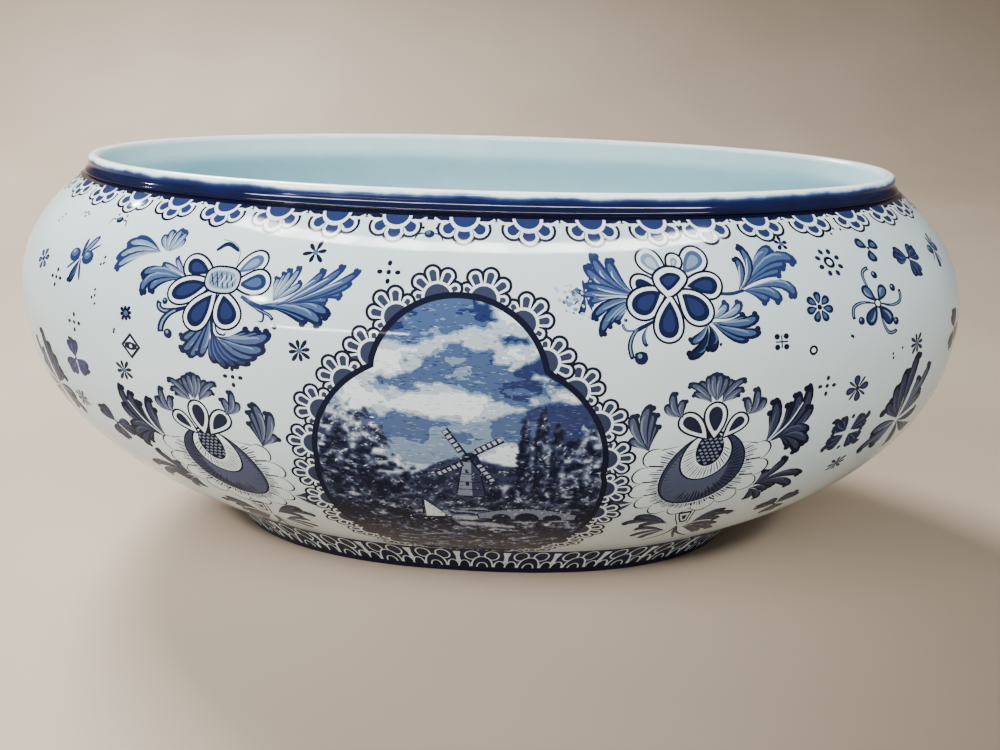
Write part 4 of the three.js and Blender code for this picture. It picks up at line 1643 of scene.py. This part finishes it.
def build_collar():
    """The cove, the bead, the hollowed face and the rounded lip, and the throat inside."""
    body = Body()
    around = COLLAR_POINTS
    bead, bead_z = RIM + COLLAR_FLARE - BEAD_RADIUS, COLLAR_Z + COVE_HEIGHT + BEAD_RADIUS
    lip_radius = LIP_THICKNESS / 2
    lip, lip_z = RIM - lip_radius, OVERALL_HEIGHT - lip_radius
    neck = [body.ring(NECK[:2], COLLAR_Z, around),
            body.ring(NECK[:2] - COVE_REACH * 0.7, COLLAR_Z + COVE_HEIGHT * 0.5, around)]
    swelling = arc_rings(body, bead, bead_z, BEAD_RADIUS, -BEAD_TURN, BEAD_TURN, 8, around)
    end = math.radians(BEAD_TURN)
    start, start_z = bead + BEAD_RADIUS * math.cos(end), bead_z + BEAD_RADIUS * math.sin(end)
    face = []
    for t in np.arange(1, 8) / 8:
        axes = start + (RIM - start) * t - COLLAR_HOLLOW * math.sin(math.pi * t)
        face.append(body.ring(axes, start_z + (lip_z - start_z) * t, around))
    outer = arc_rings(body, lip, lip_z, lip_radius, 0, 100, 10, around)
    inner = arc_rings(body, lip, lip_z, lip_radius, 110, 180, 8, around)
    throat = [body.ring(THROAT, COLLAR_Z + 2, around), body.ring(THROAT, COLLAR_Z, around)]
    cobalt = neck + swelling + face + outer
    body.loft(cobalt, 0)
    body.loft([outer[-1]] + inner, 1)
    body.loft([inner[-1]] + throat + [neck[0]], 2)
    return body.build("collar", [collar_glaze, body_glaze, inner_glaze], set())


def add_piece(piece, slot, *nodes):
    """Puts a piece on the root body and hides the nodes of the CAD part that it replaces. The slot is not
    used.
    """
    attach(piece, "root")
    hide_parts(*nodes)


add_piece(build_bowl(), "body_glaze", "bowl_floor", "bowl_flank", "bowl_belly", "bowl_shoulder")
add_piece(build_foot(), "foot_glaze", "foot_ring")
add_piece(build_collar(), "collar_glaze", "rim_collar")


# Floor, light and camera

def backdrop():
    """A floor that curves up into a wall behind the pot."""
    front, depth, wide, radius, wall = -2.6, 1.15, 3.2, 0.5, 1.8
    profile = [(front, 0.0), (depth, 0.0)]
    for a in np.linspace(0.1, math.pi / 2, 12):
        profile.append((depth + radius * math.sin(a), radius - radius * math.cos(a)))
    profile.append((depth + radius, wall))
    points = [(x, y, z) for y, z in profile for x in (-wide, wide)]
    faces = [(2 * i, 2 * i + 1, 2 * i + 3, 2 * i + 2) for i in range(len(profile) - 1)]
    mesh = bpy.data.meshes.new("backdrop")
    mesh.from_pydata(points, [], faces)
    mesh.polygons.foreach_set("use_smooth", [True] * len(faces))
    stage = add_object("backdrop", mesh)
    plain = Glaze("backdrop", 0.3, 0.6)
    tone = plain.ramp(plain.noise(3, 2), (0.3, "a3927f"), (0.7, "ab9b89"))
    plain.links.new(tone, plain.shader.inputs["Base Color"])
    mesh.materials.append(plain.material)


def area_light(name, place, target, size, watts, tint=(1.0, 1.0, 1.0), spread=math.pi):
    """A lamp at a place, turned to a target, with its size in metres and its spread in radians."""
    data = bpy.data.lights.new(name, "AREA")
    data.shape = "RECTANGLE"
    data.size, data.size_y = size
    data.energy = watts
    data.spread = spread
    data.color = tint
    lamp = add_object(name, data)
    lamp.location = place
    lamp.rotation_euler = (Vector(target) - Vector(place)).to_track_quat("-Z", "Y").to_euler()


backdrop()
area_light("key", (-1.2, 1.3, 1.9), (0, 0, 0.1), size=(0.8, 0.8), watts=148.0, tint=(0.98, 0.99, 1.0))
WINDOW_X, WINDOW_REACH, WINDOW_Z, WINDOW_STEP = -0.1, 0.95, 1.08, 18
for step in range(-3, 4):                            # a long window in front, bent round the pot
    turn = math.radians(WINDOW_STEP * step)
    place = (WINDOW_X + WINDOW_REACH * math.sin(turn), -WINDOW_REACH * math.cos(turn), WINDOW_Z)
    area_light("strip", place, (WINDOW_X, 0.0, 0.14), size=(0.3, 0.105), watts=0.35, tint=(1.0, 1.0, 0.98),
               spread=0.7)
area_light("streak", (-0.55, -1.18, 0.15), (-0.1, -0.1, 0.12), size=(0.55, 0.012), watts=2.0)
area_light("spot", (-1.12, 0.11, 0.80), (-0.15, 0, 0.14), size=(0.03, 0.03), watts=1.0)
area_light("blob", (-0.84, -0.98, 0.42), (-0.1, -0.08, 0.12), size=(0.05, 0.05), watts=1.2)

world = bpy.data.worlds.new("soft_room")
world.use_nodes = True
daylight = world.node_tree.nodes["Background"]
daylight.inputs["Color"].default_value = (0.93, 0.97, 1.0, 1.0)
daylight.inputs["Strength"].default_value = 0.135
bpy.context.scene.world = world

# The photograph's own viewpoint, from the fit to the pot's outlines.
CAMERA_DISTANCE = 0.33919
CAMERA_HEIGHT = 0.21044
CAMERA_PITCH, CAMERA_ROLL, CAMERA_YAW, CAMERA_PAN = 0.39636, 0.02406, 0.06497, -0.02251
LENS_PIXELS, PHOTO_WIDTH, SENSOR = 751.0, 1000.0, 36.0


def add_camera():
    """Looks at the pot as the photograph does. The angles are in radians, the lengths in metres."""
    data = bpy.data.cameras.new("camera")
    data.sensor_width = SENSOR
    data.lens = SENSOR * LENS_PIXELS / PHOTO_WIDTH
    data.clip_start = 0.01
    camera = add_object("camera", data)
    azimuth = CAMERA_YAW + CAMERA_PAN
    ahead = Vector((-math.sin(azimuth) * math.cos(CAMERA_PITCH), math.cos(azimuth) * math.cos(CAMERA_PITCH),
                    -math.sin(CAMERA_PITCH)))
    right = ahead.cross(Vector((0, 0, 1))).normalized()
    up = right.cross(ahead)
    x = math.cos(CAMERA_ROLL) * right + math.sin(CAMERA_ROLL) * up
    y = -math.sin(CAMERA_ROLL) * right + math.cos(CAMERA_ROLL) * up
    turn = Matrix((x, y, -ahead)).transposed().to_4x4()
    spot = (CAMERA_DISTANCE * math.sin(CAMERA_YAW), -CAMERA_DISTANCE * math.cos(CAMERA_YAW), CAMERA_HEIGHT)
    camera.matrix_world = Matrix.Translation(spot) @ turn
    bpy.context.scene.camera = camera


add_camera()
